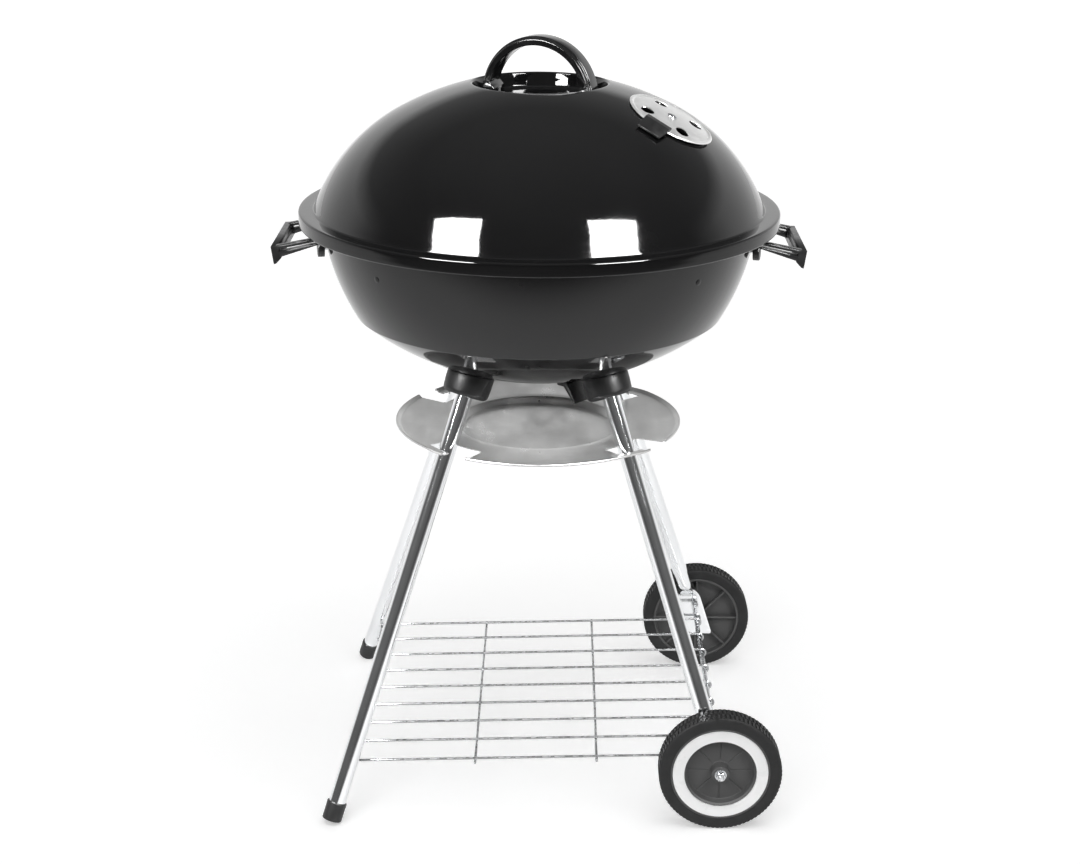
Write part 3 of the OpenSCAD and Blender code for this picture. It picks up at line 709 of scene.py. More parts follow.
class GRILL_OT_dampers(bpy.types.Operator):
    """Makes both damper discs, their finger tabs and their rivets"""
    bl_idname = "grill.dampers"
    bl_label = "Dampers"

    def execute(self, context):
        """A disc is a cap of a sphere in polar steps. Its height above the sphere is zero, and a
        sine-squared bead round the edge. Tabs are flat outlines of reach and height carried across
        the disc's direction, narrower at the free end. Rivets are turned buttons."""
        s = context.scene.kettle_sizes
        for name, top, body, r0, turn in (("lid", True, "lid_damper", s.crown_r, -90),
                                          ("bowl", False, "bowl_damper", cap_sphere(s)[1], 42)):
            centre, first, second, out = damper_axes(top)
            r = r0 + 1.5
            rho = np.concatenate([np.linspace(2.6, 15, 9), np.arange(16, 37, 0.8), np.linspace(37, 41, 12)])
            bead = 1.15 * np.sin(math.pi * np.clip((rho - 36.6) / 5.1, 0, 1)) ** 2
            a = round_angles(208)[None, :, None]
            reach = (rho / r)[:, None, None]
            ray = np.cos(reach) * out + np.sin(reach) * (np.cos(a) * first + np.sin(a) * second)
            rings = centre + (r + bead)[:, None, None] * ray
            part = with_holes(skin(rings), damper_hole_middles(top, r), out, HOLE_R)
            piece(f"{name}_damper_disc", part, body, disc_metal(),
                  [f"{name}_vent_disc"], wall=0.7, crease=60)

            w = math.radians(turn)
            along = math.cos(w) * first + math.sin(w) * second
            across = np.cross(out, along)
            if top:
                outline = [[34.2, r + 1.5], [36.0, r + 2.0], [41.6, r + 1.7], [45, r + 0.5],
                           [57.2, r - 3.9], [57.2, r - 5.6], [45, r - 3.0], [42.2, r - 2.9],
                           [42.2, r - 1.6], [41.4, r - 1.2], [35, r - 0.9]]
            else:
                outline = [[34.8, r + 2.0], [36.5, r + 2.4], [43, r + 2.3], [55.2, r + 16.8],
                           [57.2, r + 16.2], [47.6, r - 1.4], [42.2, r - 2.3], [42.2, r - 1.6],
                           [41.4, r - 1.2], [35, r - 0.9]]
            outline = rounded_loop(outline, 0.35, 3)

            def place(x, z, h, along=along, across=across, out=out, centre=centre):
                """Reach, height and width of a tab, narrowed towards its free end."""
                wide = h * (1 - 0.075 * smooth(x, 42, 57))
                return centre + x[:, None] * along + z[:, None] * out + wide[:, None] * across

            piece(f"{name}_damper_tab", slab(outline, -12.2, 12.2, place, 0.3), body,
                  boot_plastic(), [f"{name}_vent_tab"], crease=50)

            button = rounded([[0, r + 1.7], [1.6, r + 1.7], [4.6, r + 1.1], [4.9, r + 0.15], [2.45, r + 0.15],
                              [2.45, r0 - 1.4], [4.9, r0 - 1.4], [4.6, r0 - 2.5], [0, r0 - 2.7]],
                             [1.2, 0.8, 0.2, 0.1, 0.1, 0.2, 0.6], 4)
            a = round_angles(40)[None, :, None]
            rings = centre + button[1:-1, 1][:, None, None] * out + \
                button[1:-1, 0][:, None, None] * (np.cos(a) * first + np.sin(a) * second)
            piece(f"{name}_damper_rivet", outward(skin(rings, True, True)), "lid" if top else "base",
                  zinc(), [f"{name}_vent_rivet"], crease=50)
        return {"FINISHED"}


class GRILL_OT_bowl(bpy.types.Operator):
    """Makes the bowl with its crease, flared rim and rolled bead"""
    bl_idname = "grill.bowl"
    bl_label = "Bowl"

    def execute(self, context):
        """The inner profile runs outward and up: cap, crease, wall arc, flare, flange and a curl
        of 290 degrees. It is turned round the axis, and the sheet gets its thickness outwards.
        The heads of the bracket rivets are low turned buttons, enamelled over with the bowl."""
        s = context.scene.kettle_sizes
        cap_z, cap_r = cap_sphere(s)
        wall_c, wall_r = wall_circle(s)
        cap_r, wall_r = cap_r - s.sheet, wall_r - s.sheet
        crease = circle_meet((0, cap_z), cap_r, wall_c, wall_r)
        a = math.degrees(math.asin((crease[0] - 5) / cap_r))
        b = math.degrees(math.asin(15 / cap_r))
        c = math.degrees(math.asin(36 / cap_r))
        cap = np.vstack([arc((0, cap_z), cap_r, -90, -90 + b, 6),
                         arc((0, cap_z), cap_r, -90 + b, -90 + c, 28)[1:],
                         arc((0, cap_z), cap_r, -90 + c, -90 + a, 34)[1:]])
        low = math.degrees(math.asin((crease[1] + 5 - wall_c[1]) / wall_r))
        high = math.degrees(math.asin((s.rim_z - 6.5 - wall_c[1]) / wall_r))
        wall = arc(wall_c, wall_r, low, high, 26)
        bend = rounded([cap[-1], crease, wall[0]], [3.0], 7)
        rim = rounded([wall[-1], [wall[-1][0] + 0.5, s.rim_z - 2.6], [wall[-1][0] + 4.6, s.rim_z],
                       [214, s.rim_z]], [4, 3], 5)
        bead = arc((214, s.rim_z - 2.2), 2.2, 90, -200, 18)
        profile = np.vstack([cap, bend[1:-1], wall, refined(rim[1:], 3), bead[1:]])
        part = turned_skin(profile, round_angles(s.turns + 20))
        part = with_holes(part, damper_hole_middles(False, cap_r), np.array([0, 0, 1.0]), HOLE_R)
        piece("kettle_bowl", part, "base", enamel(), ["bowl_shell"], wall=s.sheet, crease=60)

        z = BRACKET_Z
        reach = wall_c[0] + math.sqrt((wall_r + s.sheet) ** 2 - (z - wall_c[1]) ** 2)
        head = rounded([[0.02, 0.62], [3.2, 0.3], [3.6, -0.4], [3.6, -1.0], [2.0, -1.0], [2.0, -2.6],
                        [3.4, -2.6], [3.0, -3.8], [0.02, -4.0]], [1.4, 0.5, 0.1, 0.1, 0.1, 0.1, 0.6], 3)
        a = round_angles(32)[None, :, None]
        parts = []
        for k in range(4):
            b = math.radians(45 + 90 * k)
            way, flat = np.array([math.cos(b), math.sin(b), 0]), np.array([-math.sin(b), math.cos(b), 0])
            rings = way * (reach + head[:, 1][:, None, None]) + [0, 0, z] + \
                head[:, 0][:, None, None] * (np.cos(a) * flat + np.sin(a) * np.array([0, 0, 1.0]))
            parts.append(outward(skin(rings, True, True)))
        piece("bracket_rivet_heads", joined(parts), "base", enamel(), ["bracket_rivets"], crease=50)
        return {"FINISHED"}


class GRILL_OT_side_handles(bpy.types.Operator):
    """Makes the two side handles, each with slotted arms and a finned grip"""
    bl_idname = "grill.side_handles"
    bl_label = "Side handles"

    def execute(self, context):
        """Each arm is a four-sided outline with a slot, matched corner to corner and carried
        across 9. The grip is a six-sided outline carried from end to end. Round pads stand
        square on the bowl's wall behind the arms."""
        x, z, y1 = GRIP_HIGH[0], GRIP_Z, GRIP_HIGH[1]

        def slope_top(at):
            """Height of an arm's upper edge at a distance from the middle."""
            return z - 0.3 + (x - 3 - at) * 0.2

        root = 195.0

        def even(corners):
            """A four-sided outline with eight points to a side, so that two can be matched."""
            loop = np.vstack([corners, corners[:1]])
            return np.vstack([np.linspace(p, q, 9)[:-1] for p, q in zip(loop[:-1], loop[1:])])

        outer = even(np.array([[x - 4, slope_top(x - 4)], [root, slope_top(root)],
                               [root, slope_top(root) - 5.6], [x - 5, z - 11.3]]))
        slot_out, slot_in = x - 8.5, x - 43
        inner = even(np.array([[slot_out, slope_top(slot_out) - 3.2], [slot_in, slope_top(slot_in) - 2.9],
                               [slot_in, slope_top(slot_in) - 4.8], [slot_out, slope_top(slot_out) - 5.6]]))
        grip = np.array([[x - 6, z], [x, z], [x - 2.5, z - 17], [x - 5, z - 16], [x - 9.5, z - 11],
                         [x - 8.6, z - 6], [x - 7.4, z - 5.2], [x - 7.2, z - 1.6]])
        for side, name in ((1, "right"), (-1, "left")):
            def place(px, pz, h, side=side):
                """Reach, height and width on one side of the bowl."""
                return np.stack([side * px, h, pz], -1)

            parts = []
            for e in (-1, 1):
                ends = sorted((e * (y1 - 9), e * y1))
                parts.append(window_slab(outer, inner, ends[0] + 0.05, ends[1] - 0.05, place))
                turn = math.asin((y1 - 8) / PAD_REACH)
                way = np.array([math.cos(turn), e * math.sin(turn), 0])
                up, flat = np.array([0, 0, 1.0]), np.array([-e * math.sin(turn), math.cos(turn), 0])
                pad = rounded([[0, 6.6], [7.6, 6.6], [8, 5.6], [8, 0.5], [0, 0.5]], [0.8, 0.2, 0.2], 3)
                a = round_angles(40)[None, :, None]
                rings = way * (PAD_REACH + pad[1:-1, 1][:, None, None]) + up * (z - 3) + \
                    pad[1:-1, 0][:, None, None] * (np.cos(a) * flat + np.sin(a) * up)
                rings[..., 0] *= side
                parts.append(outward(skin(rings, True, True)))
            parts.append(slab(rounded_loop(grip, 0.6, 3), -y1, y1, place, 0.5))
            piece(f"side_grip_{name}", joined(parts), "base", hot_plastic(),
                  [f"side_handle_{name}"], crease=45)
        return {"FINISHED"}


class GRILL_OT_legs(bpy.types.Operator):
    """Makes the four chromed legs: plain tubes on the left, flattened ends on the wheel side"""
    bl_idname = "grill.legs"
    bl_label = "Legs"

    def execute(self, context):
        """A plain leg is a ring of radius 8 carried up its axis. A wheel leg blends, between
        heights 104 and 82, from that ring to a level superellipse 24.5 by 3, whose powers rise
        from 2 to 7, and ends in a rounded tip."""
        s = context.scene.kettle_sizes
        a = round_angles(56)
        for depth, sy in BEHIND.items():
            for side, sx in SIDE.items():
                corner = (sx, sy)
                u, v = leg_axes(corner)[:2]
                ring = s.leg_r * (np.cos(a)[:, None] * u + np.sin(a)[:, None] * v)
                if sx < 0:
                    rings = leg_at(corner, np.linspace(8, LEG_TOP, 60))[:, None] + ring
                else:
                    z = np.concatenate([np.linspace(LEG_TOP, 106, 46), np.linspace(104, 82, 26),
                                        np.linspace(80, 46, 14), 41 + 4 * np.cos(np.linspace(0.2, 1.5, 7))])
                    middle = leg_at(corner, z)
                    round_rings = middle[:, None] + ring
                    w = smooth(-z, -104, -82)
                    tip = np.sqrt(np.clip(1 - np.clip((45 - z) / 4.3, 0, 1) ** 2, 0, 1)) * 0.25 + 0.75
                    power = (2 / (2 + 5 * w))[:, None]
                    c, d = np.cos(a)[None], np.sin(a)[None]
                    flat = np.stack([12.25 * tip[:, None] * np.sign(c) * np.abs(c) ** power,
                                     1.5 * np.sign(d) * np.abs(d) ** power, np.zeros((len(z), len(a)))], -1)
                    level = middle.copy()
                    level[:, 1] = sy * PLATE_Y
                    match = np.argmin(np.abs(np.arctan2(ring[:, 1], ring[:, 0])))
                    hand = np.sign(np.cross(u, v)[2])
                    flat_rings = level[:, None] + (flat if hand > 0 else flat * [1, -1, 1])
                    flat_rings = np.roll(flat_rings, match, axis=1)
                    rings = round_rings * (1 - w[:, None, None]) + flat_rings * w[:, None, None]
                piece(f"leg_tube_{depth}_{side}", outward(skin(rings, True, True)), "base",
                      chrome(), [f"leg_{depth}_{side}"], crease=50)
        return {"FINISHED"}


class GRILL_OT_boots(bpy.types.Operator):
    """Makes the four leg sockets under the bowl and the two foot caps"""
    bl_idname = "grill.boots"
    bl_label = "Sockets and caps"

    def execute(self, context):
        """A socket's rings run out over its rounded lower edge, up its side, and in along the
        bowl's underside, where each point's height solves the distance to the bowl's sphere. A
        cap is a turned cup round the leg whose lowest edge is pressed flat on the ground."""
        s = context.scene.kettle_sizes
        cap_z, cap_r = cap_sphere(s)
        a = round_angles(72)[None, :, None]
        for depth, sy in BEHIND.items():
            for side, sx in SIDE.items():
                u, v, up = leg_axes((sx, sy))
                base = leg_at((sx, sy), 383.5)
                low = rounded([[8.15, 0], [21.2, 0], [22, 13]], [5.0], 9)
                rings = base + low[:, 1][:, None, None] * up + \
                    low[:, 0][:, None, None] * (np.cos(a) * u + np.sin(a) * v)
                rho = np.array([22, 21.8, 21, 16, 12, 8.15])[:, None, None]
                spot = base + rho * (np.cos(a) * u + np.sin(a) * v)
                rel = spot - [0, 0, cap_z]
                b = (rel * up).sum(-1)
                rise = -b - np.sqrt(b * b - ((rel * rel).sum(-1) - (cap_r + 0.1) ** 2))
                drop = np.array([1.0, 0.3, 0, 0, 0, 0])[:, None]
                rings = np.vstack([rings, spot + (rise - drop)[..., None] * up])
                piece(f"leg_boot_{depth}_{side}", outward(skin(rings, wrap_rings=True)), "base",
                      boot_plastic(), [f"socket_{depth}_{side}"], crease=42)
            u, v, up = leg_axes((-1, sy))
            base = leg_at((-1, sy), 9.2 * math.sin(math.atan(np.linalg.norm(LEG_SLOPE))) - 1)
            cup = rounded([[0.4, 0], [9.2, 0], [9.2, 14.2], [9.35, 14.8], [9.35, 17.2], [9.0, 18], [8.05, 18],
                           [8.05, 6], [0.4, 6]], [1.3, 0.2, 0.2, 0.5, 0.4, 0.1, 0.5], 5)
            rings = base + cup[:, 1][:, None, None] * up + \
                cup[:, 0][:, None, None] * (np.cos(a) * u + np.sin(a) * v)
            rings[..., 2] = np.maximum(rings[..., 2], 0)
            piece(f"foot_cup_{depth}", outward(skin(rings, True, True)), "base",
                  boot_plastic(), [f"foot_cap_{depth}"], crease=42)
        return {"FINISHED"}


class GRILL_OT_wheels(bpy.types.Operator):
    """Makes the two wheels: treaded tyres, dished hubs and pale rings"""
    bl_idname = "grill.wheels"
    bl_label = "Wheels"

    def execute(self, context):
        """Each is a closed outline of radius and width turned round the axle. The tyre's outer
        radius drops by 1.1 between two rows of 84 blocks, the second row half a block later. The
        hub's outer face has eight shallow seams, and its inner face carries eight flat ribs."""
        s = context.scene.kettle_sizes
        w, r = s.tyre_w / 2, s.wheel_r
        axle_x = (AXLE_LOW[0] + AXLE_HIGH[0]) / 2
        axle_z = (AXLE_LOW[2] + AXLE_HIGH[2]) / 2
        wheel_y = abs(WHEEL_LOW[1] + WHEEL_HIGH[1]) / 2
        blocks, share = 84, 0.6
        pitch = 2 * math.pi / blocks
        cuts = np.array([0.0, share, 0.5, share - 0.5])
        steps = np.sort(np.mod(np.concatenate([cuts - 0.025, cuts + 0.025, [0.31, 0.81]]), 1))
        tread_a = (np.arange(blocks)[:, None] + steps[None]).ravel() * pitch

        def outline_net(outline, angles, sign, change=None):
            """A closed outline of radius and width turned round the axle, changed by angle."""
            rad = np.repeat(outline[:, :1], len(angles), 1)
            wide = np.repeat(outline[:, 1:], len(angles), 1)
            if change:
                rad, wide = change(rad, wide, angles[None, :])
            pts = np.stack([axle_x + rad * np.cos(angles), sign * (wheel_y + wide),
                            axle_z + rad * np.sin(angles)], -1)
            return outward(skin(pts, wrap_rings=True))

        side = [[46.0, -w + 0.3], [47, -w], [53.6, -w], [54.0, -w], [55.6, -w + 0.5],
                [r - 0.3, -w + 2.0]]
        rows = [[r, v] for v in (-9.4, -9.1, -0.95, -0.65, 0.65, 0.95, 9.1, 9.4)]
        mirror = [[p, -q] for p, q in side[::-1]]
        tyre = np.array(side + rows + mirror)

        def treads(rad, wide, ang):
            """Sinks the tread between its blocks, and all round its two edges."""
            turn = np.mod(ang / pitch, 1)
            row_b = wide > 0
            turn = np.where(row_b, np.mod(turn + 0.5, 1), turn)
            block = (turn > 0) & (turn < share)
            inside = (np.abs(wide) > 0.9) & (np.abs(wide) < 9.2) & (rad > r - 0.05)
            edge = (rad > r - 0.05) & ~inside
            return np.where(inside & ~block | edge, rad - 1.1, rad), wide

        hub = rounded_loop([[2.55, -11.8], [8, -11.8], [8.4, -2], [43.3, -2], [43.5, -w + 0.5],
                            [45.9, -w + 0.5], [45.9, w - 0.4], [44.2, w - 0.4], [44.2, w - 2.3],
                            [33, w - 2.3], [31.4, w - 3.6], [30.2, 1], [8.8, 1.4], [8, 11.8],
                            [2.55, 11.8]], 0.35, 3)
        hub = np.vstack([hub, hub[:1]])
        hub = refined(hub, 4)[:-1]
        seam = np.arange(8) * math.pi / 4
        seam_edges = [seam + d for d in (-0.034, -0.022, 0.022, 0.034)]
        hub_a = np.sort(np.mod(np.concatenate([round_angles(96)] + seam_edges), 2 * math.pi))

        def seams(rad, wide, ang):
            """Sinks the hub's outer face along eight spokes."""
            off = np.abs(np.mod(ang + math.pi / 8, math.pi / 4) - math.pi / 8)
            face = (rad > 9.5) & (rad < 30) & (wide > 0) & (wide < 3)
            return rad, np.where(face & (off < 0.028), wide - 0.5, wide)

        ring = rounded_loop([[33.3, w - 2.15], [33.3, w - 0.5], [36, w], [42, w], [43.95, w - 0.5],
                             [43.95, w - 2.15]], 0.3, 3)
        for name, sign in BEHIND.items():
            body = f"{name}_wheel"
            piece(f"{name}_tread_tyre", outline_net(tyre, tread_a, sign, treads), body,
                  tyre_rubber(), [f"{name}_tyre"], crease=35)
            parts = [outline_net(hub, hub_a, sign, seams)]
            for k in range(8):
                c, d = math.cos(seam[k]), math.sin(seam[k])

                def place(px, pw, h, c=c, d=d, sign=sign):
                    """Reach, width and thickness of a rib, turned to its place round the axle."""
                    return np.stack([axle_x + px * c - h * d, sign * (wheel_y + pw),
                                     axle_z + px * d + h * c], -1)

                rib = np.array([[7.6, -1.5], [43.8, -1.5], [43.8, -8.6], [7.6, -8.9]])
                parts.append(slab(rib, -1, 1, place))
            piece(f"{name}_dished_hub", joined(parts), body, hub_plastic(),
                  [f"{name}_hub"], crease=35)
            piece(f"{name}_pale_ring", outline_net(ring, round_angles(128), sign), body,
                  ring_plastic(), [f"{name}_ring"], crease=35)
        return {"FINISHED"}


class GRILL_OT_axle(bpy.types.Operator):
    """Makes the threaded axle rod and its two chamfered nuts"""
    bl_idname = "grill.axle"
    bl_label = "Axle and nuts"

    def execute(self, context):
        """The rod's radius is 2.5, less a saw of pitch 0.8 that follows the turn over its last 12
        at each end. A nut's radius is a hexagon, distance over cosine of the angle from the middle
        of a flat, and no more than a cone that chamfers both faces."""
        x, z = (AXLE_LOW[0] + AXLE_HIGH[0]) / 2, (AXLE_LOW[2] + AXLE_HIGH[2]) / 2
        end = AXLE_HIGH[1]
        a = round_angles(28)[None, :]
        for_end = np.arange(end - 12, end - 0.6, 0.16)
        y = np.concatenate([-for_end[::-1], np.linspace(-end + 13, end - 13, 30), for_end])[:, None]
        saw = np.abs(np.mod(y / 0.8 + a / (2 * math.pi), 1) - 0.5) * 2
        r = 2.5 - 0.32 * saw * (np.abs(y) > end - 12)
        tip = np.array([[-end], [end]])
        y = np.vstack([tip[:1], y, tip[1:]])
        r = np.vstack([np.full((1, 28), 1.9), r, np.full((1, 28), 1.9)])
        rings = np.stack([x + r * np.cos(a), y + 0 * a, z + r * np.sin(a)], -1)
        piece("axle_rod", outward(skin(rings, True, True)), "base", zinc(), ["axle"], crease=40)

        nut_end = span("axle_nuts")[1][1]
        a = round_angles(72)[None, :]
        flat = 4.0 / np.cos(np.mod(a, math.pi / 3) - math.pi / 6)
        level = np.array([0, 0, 0.25, 0.5, 2.0, 3.5, 3.75, 4.0, 4.0])[:, None]
        cone = np.array([2.56, 4.0, 4.25, 9, 9, 9, 4.25, 3.9, 2.56])[:, None]
        r = np.minimum(np.where(cone < 3, cone, flat), cone + 0 * a)
        parts = []
        for sign in (-1, 1):
            rings = np.stack([x + r * np.cos(a), sign * (nut_end - 4 + level) + 0 * a, z + r * np.sin(a)], -1)
            parts.append(outward(skin(rings, wrap_rings=True)))
        piece("axle_hex_nuts", joined(parts), "base", zinc(), ["axle_nuts"], crease=32)
        return {"FINISHED"}


class GRILL_OT_shelf(bpy.types.Operator):
    """Makes the wire shelf with its hooks over the axle"""
    bl_idname = "grill.shelf"
    bl_label = "Wire shelf"

    def execute(self, context):
        """Every long wire is a straight line up to the point where it touches a circle of radius
        4.05 round the axle, and then 160 degrees of that circle. The rods lie below the wires."""
        x1, z1 = (AXLE_LOW[0] + AXLE_HIGH[0]) / 2, (AXLE_LOW[2] + AXLE_HIGH[2]) / 2
        tilt, hook, r = math.radians(1.75), 4.05, 1.25
        left = -169.0

        def wire_z(x):
            """Height of the long wires along the shelf."""
            return z1 + hook / math.cos(tilt) - (x1 - x) * math.tan(tilt)

        bend = arc((x1, z1), hook, 90 + 1.75, 90 + 1.75 - 160, 14)
        straight = np.linspace([left - 2, wire_z(left - 2)], bend[0], 9)[:-1]
        line = np.vstack([straight, bend])
        count, half_span = 9, 4 * 37.8
        parts = []
        for y in np.linspace(-half_span, half_span, count):
            parts.append(tube(np.stack([line[:, 0], np.full(len(line), y), line[:, 1]], -1), r, 14))
        rods = [(left, SHELF_HIGH[1])] + [(left + k * (x1 - left) / 3, half_span + 6) for k in (1, 2)]
        for x, half in rods:
            level = np.full(9, wire_z(x) - 2 * r + 0.5)
            path = np.stack([np.full(9, x), np.linspace(-half, half, 9), level], -1)
            parts.append(tube(path, r, 14, (1, 0, 0)))
        piece("shelf_grid", joined(parts), "base", wire_chrome(), ["wire_shelf"], crease=50)
        return {"FINISHED"}


class GRILL_OT_ash_pan(bpy.types.Operator):
    """Makes the ash pan with its sunk middle, rolled rim and four bayonet slots"""
    bl_idname = "grill.ash_pan"
    bl_label = "Ash pan"

    def execute(self, context):
        """A turned profile in polar steps that fall on the slots' edges. Faces inside the slots
        are left out, and the free tip of each lobe sinks by up to 1.3."""
        s = context.scene.kettle_sizes
        r1, z = s.pan_r, PAN_HIGH[2] - 1.2
        leg = np.linalg.norm(leg_at((1, 1), z - 4)[:2]) + 8 * 1.088 + 0.3
        low = rounded([[0, z - 10.1], [73, z - 10.1], [78.2, z - 4.1], [84, z - 3.5], [r1 - 5, z - 1.5],
                       [r1 - 2.6, z + 0.7]], [2.5, 2.5, 1.0, 2.0], 6)
        roll = arc((r1 - 1.3, z - 0.1), 1.3, 130, -150, 12)
        line = np.vstack([low[:-1], roll])
        marks = np.array([104.5, 106.5, leg])
        at = np.interp(marks, line[:, 0][:len(low) - 1], np.arange(len(low) - 1))
        keep = np.sort(np.concatenate([np.arange(len(line)), at]))
        line = np.stack([np.interp(keep, np.arange(len(line)), line[:, k]) for k in (0, 1)], -1)
        line = refined(line, 4)
        edges = np.radians(np.add.outer(np.array([0, 90, 180, 270]), [-53, -40, -29.4, -28.4]).ravel())
        angles = np.unique(np.round(np.mod(np.concatenate([round_angles(150), edges]), 2 * math.pi), 6))
        rings = turned(line[1:], angles)
        points, faces, _ = skin(rings)
        cols = len(angles)
        cell = np.arange(len(faces))
        ring_r = line[1:, 0]
        mid_r = 0.5 * (ring_r[cell // cols] + ring_r[cell // cols + 1])
        gap_angle = np.mod(np.roll(angles, -1) - angles, 2 * math.pi)
        mid_a = np.degrees(np.mod(angles + gap_angle / 2, math.pi / 2)) - 90
        mid_a = np.where(mid_a < -60, mid_a + 90, mid_a)[cell % cols]
        slot = (mid_a > -53) & (mid_a < -29.4) & (mid_r > 104.5) & (mid_r < leg)
        mouth = (mid_a > -40) & (mid_a < -28.4) & (mid_r > 106.5)
        faces = faces[~(slot | mouth)]
        turn = np.degrees(np.mod(np.arctan2(points[:, 1], points[:, 0]), math.pi / 2)) - 90
        rho = np.hypot(points[:, 0], points[:, 1])
        points = points.copy()
        points[:, 2] -= 1.3 * smooth(turn, -53, -40) * (turn < -39.9) * smooth(rho, leg - 4, leg + 1)
        points = np.vstack([points, [0, 0, line[0, 1]]])
        faces = np.vstack([faces, fan(0, cols, len(points) - 1, False)])
        used, faces = np.unique(faces, return_inverse=True)
        part = points[used], faces.reshape(-1, 4), []
        piece("bayonet_pan", part, "ash_pan", pan_metal(), ["ash_pan"], wall=0.9, crease=60)
        return {"FINISHED"}


class GRILL_OT_hardware(bpy.types.Operator):
    """Gives the CAD pieces that stay their finishes"""
    bl_idname = "grill.hardware"
    bl_label = "Grates and fixings"

    def execute(self, context):
        """The cooking grate is plated wire, the charcoal grate and the brackets are dull steel, and
        the fixings are bright zinc."""
        table = {"cooking_grate": wire_chrome(), "charcoal_grate": dull_steel(),
                 "grate_brackets": dull_steel()}
        for name in ("side_handle_screws", "leg_inserts", "leg_bolts", "leg_washers",
                     "axle_washers", "lid_handle_screws"):
            table[name] = zinc()
        for name, material in table.items():
            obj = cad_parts.get(name)
            if obj is None:
                raise RuntimeError(f"the frame has no piece named {name}")
            if not obj.material_slots:
                obj.data.materials.append(material)
            for holder in obj.material_slots:
                holder.material = material
        return {"FINISHED"}


# ---------------------------------------------------------------- studio

EYE = np.array([0.01570, -1.77384, 0.93860])
YAW, PITCH, ROLL = -0.00776, 0.33302, 0.00636


def eye_axes():
    """The camera's right, up and forward directions from its yaw, pitch and roll."""
    ahead = np.array([math.sin(YAW) * math.cos(PITCH), math.cos(YAW) * math.cos(PITCH), -math.sin(PITCH)])
    right = np.array([math.cos(YAW), -math.sin(YAW), 0])
    up = np.cross(right, ahead)
    return math.cos(ROLL) * right + math.sin(ROLL) * up, math.cos(ROLL) * up - math.sin(ROLL) * right, ahead


def set_stops(ramp, stops):
    """Gives a colour ramp grey stops, each a place along it and a level."""
    while len(ramp.color_ramp.elements) < len(stops):
        ramp.color_ramp.elements.new(0.5)
    for element, (at, level) in zip(ramp.color_ramp.elements, stops):
        element.position = at
        element.color = (level, level, level, 1)


def lamp(name, place, target, size, power, gloss=True, diffuse=True):
    """A soft area light at place, facing target."""
    data = bpy.data.lights.new(name, "AREA")
    data.shape = "RECTANGLE"
    data.size, data.size_y = size
    data.energy = power
    obj = bpy.data.objects.new(name, data)
    bpy.context.scene.collection.objects.link(obj)
    obj.location = Vector(place)
    obj.rotation_euler = (Vector(target) - Vector(place)).to_track_quat("-Z", "Y").to_euler()
    obj.visible_glossy = gloss
    obj.visible_diffuse = diffuse
    obj.visible_camera = False
    return obj


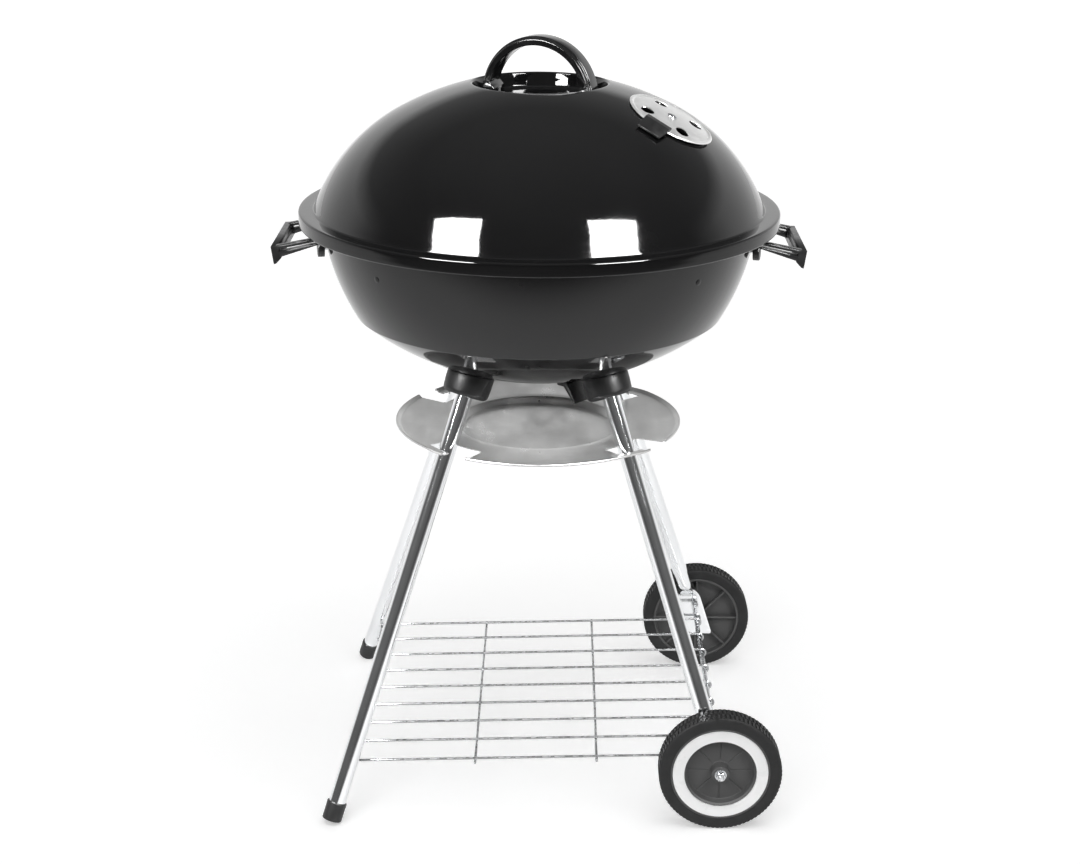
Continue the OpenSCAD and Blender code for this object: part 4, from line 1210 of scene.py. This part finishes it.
class GRILL_OT_studio(bpy.types.Operator):
    """Sets the camera, the pale floor with its painted light and shade, and the soft light"""
    bl_idname = "grill.studio"
    bl_label = "Studio"

    def execute(self, context):
        """Each of the two soft windows stands where its reflection in the dome's front reaches the
        camera: along the sight line mirrored in the dome's surface at the chosen spot."""
        scene = context.scene
        studio = scene.kettle_studio
        s = scene.kettle_sizes
        scene.view_settings.view_transform = "Standard"

        data = bpy.data.cameras.new("camera")
        data.lens = studio.lens
        data.sensor_width = 36
        data.clip_end = 200
        camera = bpy.data.objects.new("camera", data)
        scene.collection.objects.link(camera)
        right, up, ahead = eye_axes()
        turn = Matrix((right, up, -ahead)).transposed().to_4x4()
        camera.matrix_world = Matrix.Translation(Vector(EYE)) @ turn
        scene.camera = camera

        floor = bpy.data.meshes.new("studio_floor")
        a = round_angles(96)
        ring = np.stack([np.cos(a), np.sin(a), 0 * a], -1)
        rings = np.stack([ring * r for r in (0.5, 2, 8, 60)])
        points, faces, caps = skin(rings, start_cap=True)
        floor.from_pydata(points.tolist(), [], faces.tolist() + caps)
        board = bpy.data.objects.new("studio_floor", floor)
        scene.collection.objects.link(board)
        floor_with_painted_light = finish("floor_painted_light_and_shade", (0.86, 0.86, 0.86), 0.7, second=(0.82, 0.82, 0.82), patch=2,
                       bumps=((40, (1, 1, 1), 0.03, 0.0005),))
        nodes, links = floor_with_painted_light.node_tree.nodes, floor_with_painted_light.node_tree.links
        shader = nodes["Principled BSDF"]
        # Painted light: the floor glows, not at all in front and more and more towards the back, so that it
        # reads white and the grill's shadow on it is washed out.
        shader.inputs["Emission Color"].default_value = (1, 1, 1, 1)
        split = nodes.new("ShaderNodeSeparateXYZ")
        links.new(nodes.new("ShaderNodeTexCoord").outputs["Object"], split.inputs["Vector"])
        floor_painted_light = nodes.new("ShaderNodeValToRGB")
        depth = nodes.new("ShaderNodeMapRange")
        depth.inputs["From Min"].default_value = -2.0
        depth.inputs["From Max"].default_value = 6.0
        links.new(split.outputs["Y"], depth.inputs["Value"])
        links.new(depth.outputs["Result"], floor_painted_light.inputs["Fac"])
        set_stops(floor_painted_light, ((0.0, 0.0), (0.12, 0.0), (0.19, 0.36), (0.45, 0.6), (1.0, 0.9)))
        links.new(floor_painted_light.outputs["Color"], shader.inputs["Emission Strength"])
        # Painted shade: the floor's colour falls from 0.84 to 0.16 towards the camera, so that the front of
        # the bowl and dome reflect a dark floor.
        floor_painted_shade = nodes.new("ShaderNodeMapRange")
        floor_painted_shade.interpolation_type = "SMOOTHSTEP"
        for key, value in (("From Min", -1.1), ("From Max", -0.5), ("To Min", 0.16), ("To Max", 0.84)):
            floor_painted_shade.inputs[key].default_value = value
        links.new(split.outputs["Y"], floor_painted_shade.inputs["Value"])
        for link in list(shader.inputs["Base Color"].links):
            links.remove(link)
        links.new(floor_painted_shade.outputs["Result"], shader.inputs["Base Color"])
        floor.materials.append(floor_with_painted_light)

        world = bpy.data.worlds.new("studio_air")
        scene.world = world
        world.use_nodes = True
        nodes, links = world.node_tree.nodes, world.node_tree.links
        back = nodes["Background"]
        split = nodes.new("ShaderNodeSeparateXYZ")
        links.new(nodes.new("ShaderNodeTexCoord").outputs["Generated"], split.inputs["Vector"])
        front = ((0.0, 0.1), (0.1, 0.12), (0.3, 0.15), (0.7, 0.2), (1.0, 0.35))
        behind = ((0.0, 1.0), (0.33, 1.0), (0.46, 0.3), (0.75, 0.2), (1.0, 0.35))
        ramps = []
        for stops in (front, behind):
            ramp = nodes.new("ShaderNodeValToRGB")
            links.new(split.outputs["Z"], ramp.inputs["Fac"])
            set_stops(ramp, stops)
            ramps.append(ramp)
        side = nodes.new("ShaderNodeMapRange")
        side.interpolation_type = "SMOOTHSTEP"
        side.inputs["From Min"].default_value = -0.15
        side.inputs["From Max"].default_value = 0.45
        links.new(split.outputs["Y"], side.inputs["Value"])
        mix = nodes.new("ShaderNodeMix")
        mix.data_type = "RGBA"
        links.new(side.outputs["Result"], mix.inputs["Factor"])
        links.new(ramps[0].outputs["Color"], mix.inputs["A"])
        links.new(ramps[1].outputs["Color"], mix.inputs["B"])
        links.new(mix.outputs["Result"], back.inputs["Color"])
        back.inputs["Strength"].default_value = 1.0

        centre, r2 = shoulder(s)
        for name, turn_deg, lift in (("window_left", -109.5, 25.0), ("window_right", -71.5, 25.0)):
            a, b = math.radians(turn_deg), math.radians(lift)
            radial = centre[0] + r2 * math.cos(b)
            spot = np.array([radial * math.cos(a), radial * math.sin(a), centre[1] + r2 * math.sin(b)]) * MM
            normal = np.array([math.cos(b) * math.cos(a), math.cos(b) * math.sin(a), math.sin(b)])
            sight = unit(spot - EYE)
            bounce = sight - 2 * (sight @ normal) * normal
            size = (0.82, 1.0)
            window = lamp(name, spot + bounce * 2.0, spot, size,
                          studio.window * size[0] * size[1] * math.pi, diffuse=False)
            level = up - 2 * (up @ normal) * normal
            level = unit(level - (level @ bounce) * bounce)
            turn = Matrix((np.cross(level, bounce), level, bounce)).transposed().to_4x4()
            window.matrix_world = Matrix.Translation(Vector(spot + bounce * 2.0)) @ turn
        lamp("top_light", (0.3, -0.6, 3.2), (0, 0, 0.3), (3.4, 3.0), studio.top, gloss=False)
        lamp("front_light", (-1.2, -3.2, 2.2), (0, 0, 0.4), (2.2, 2.2), studio.fill, gloss=False)
        return {"FINISHED"}


class GRILL_PT_panel(bpy.types.Panel):
    """Lists the grill's makers and settings in the sidebar"""
    bl_idname = "GRILL_PT_panel"
    bl_label = "Kettle Grill"
    bl_space_type = "VIEW_3D"
    bl_region_type = "UI"
    bl_category = "Kettle Grill"

    def draw(self, context):
        """One button for each maker, and a box for each group of settings."""
        layout = self.layout
        for maker in MAKERS:
            layout.operator(maker.bl_idname)
        for group in (context.scene.kettle_sizes, context.scene.kettle_colours, context.scene.kettle_studio):
            box = layout.box()
            for name in group.__annotations__:
                box.prop(group, name)


GROUPS = (KettleSizes, KettleColours, StudioSettings)
MAKERS = (GRILL_OT_lid, GRILL_OT_lid_handle, GRILL_OT_dampers, GRILL_OT_bowl, GRILL_OT_side_handles,
          GRILL_OT_legs, GRILL_OT_boots, GRILL_OT_wheels, GRILL_OT_axle, GRILL_OT_shelf,
          GRILL_OT_ash_pan, GRILL_OT_hardware, GRILL_OT_studio)
CLASSES = GROUPS + MAKERS + (GRILL_PT_panel,)


def register():
    """Registers the classes and hangs the three groups of settings on the scene."""
    for cls in CLASSES:
        bpy.utils.register_class(cls)
    bpy.types.Scene.kettle_sizes = PointerProperty(type=KettleSizes)
    bpy.types.Scene.kettle_colours = PointerProperty(type=KettleColours)
    bpy.types.Scene.kettle_studio = PointerProperty(type=StudioSettings)


def unregister():
    """Takes the settings and the classes away again."""
    del bpy.types.Scene.kettle_sizes
    del bpy.types.Scene.kettle_colours
    del bpy.types.Scene.kettle_studio
    for cls in reversed(CLASSES):
        bpy.utils.unregister_class(cls)


def main():
    """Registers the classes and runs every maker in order."""
    register()
    for maker in MAKERS:
        family, name = maker.bl_idname.split(".")
        getattr(getattr(bpy.ops, family), name)()


if __name__ == "__main__":
    main()
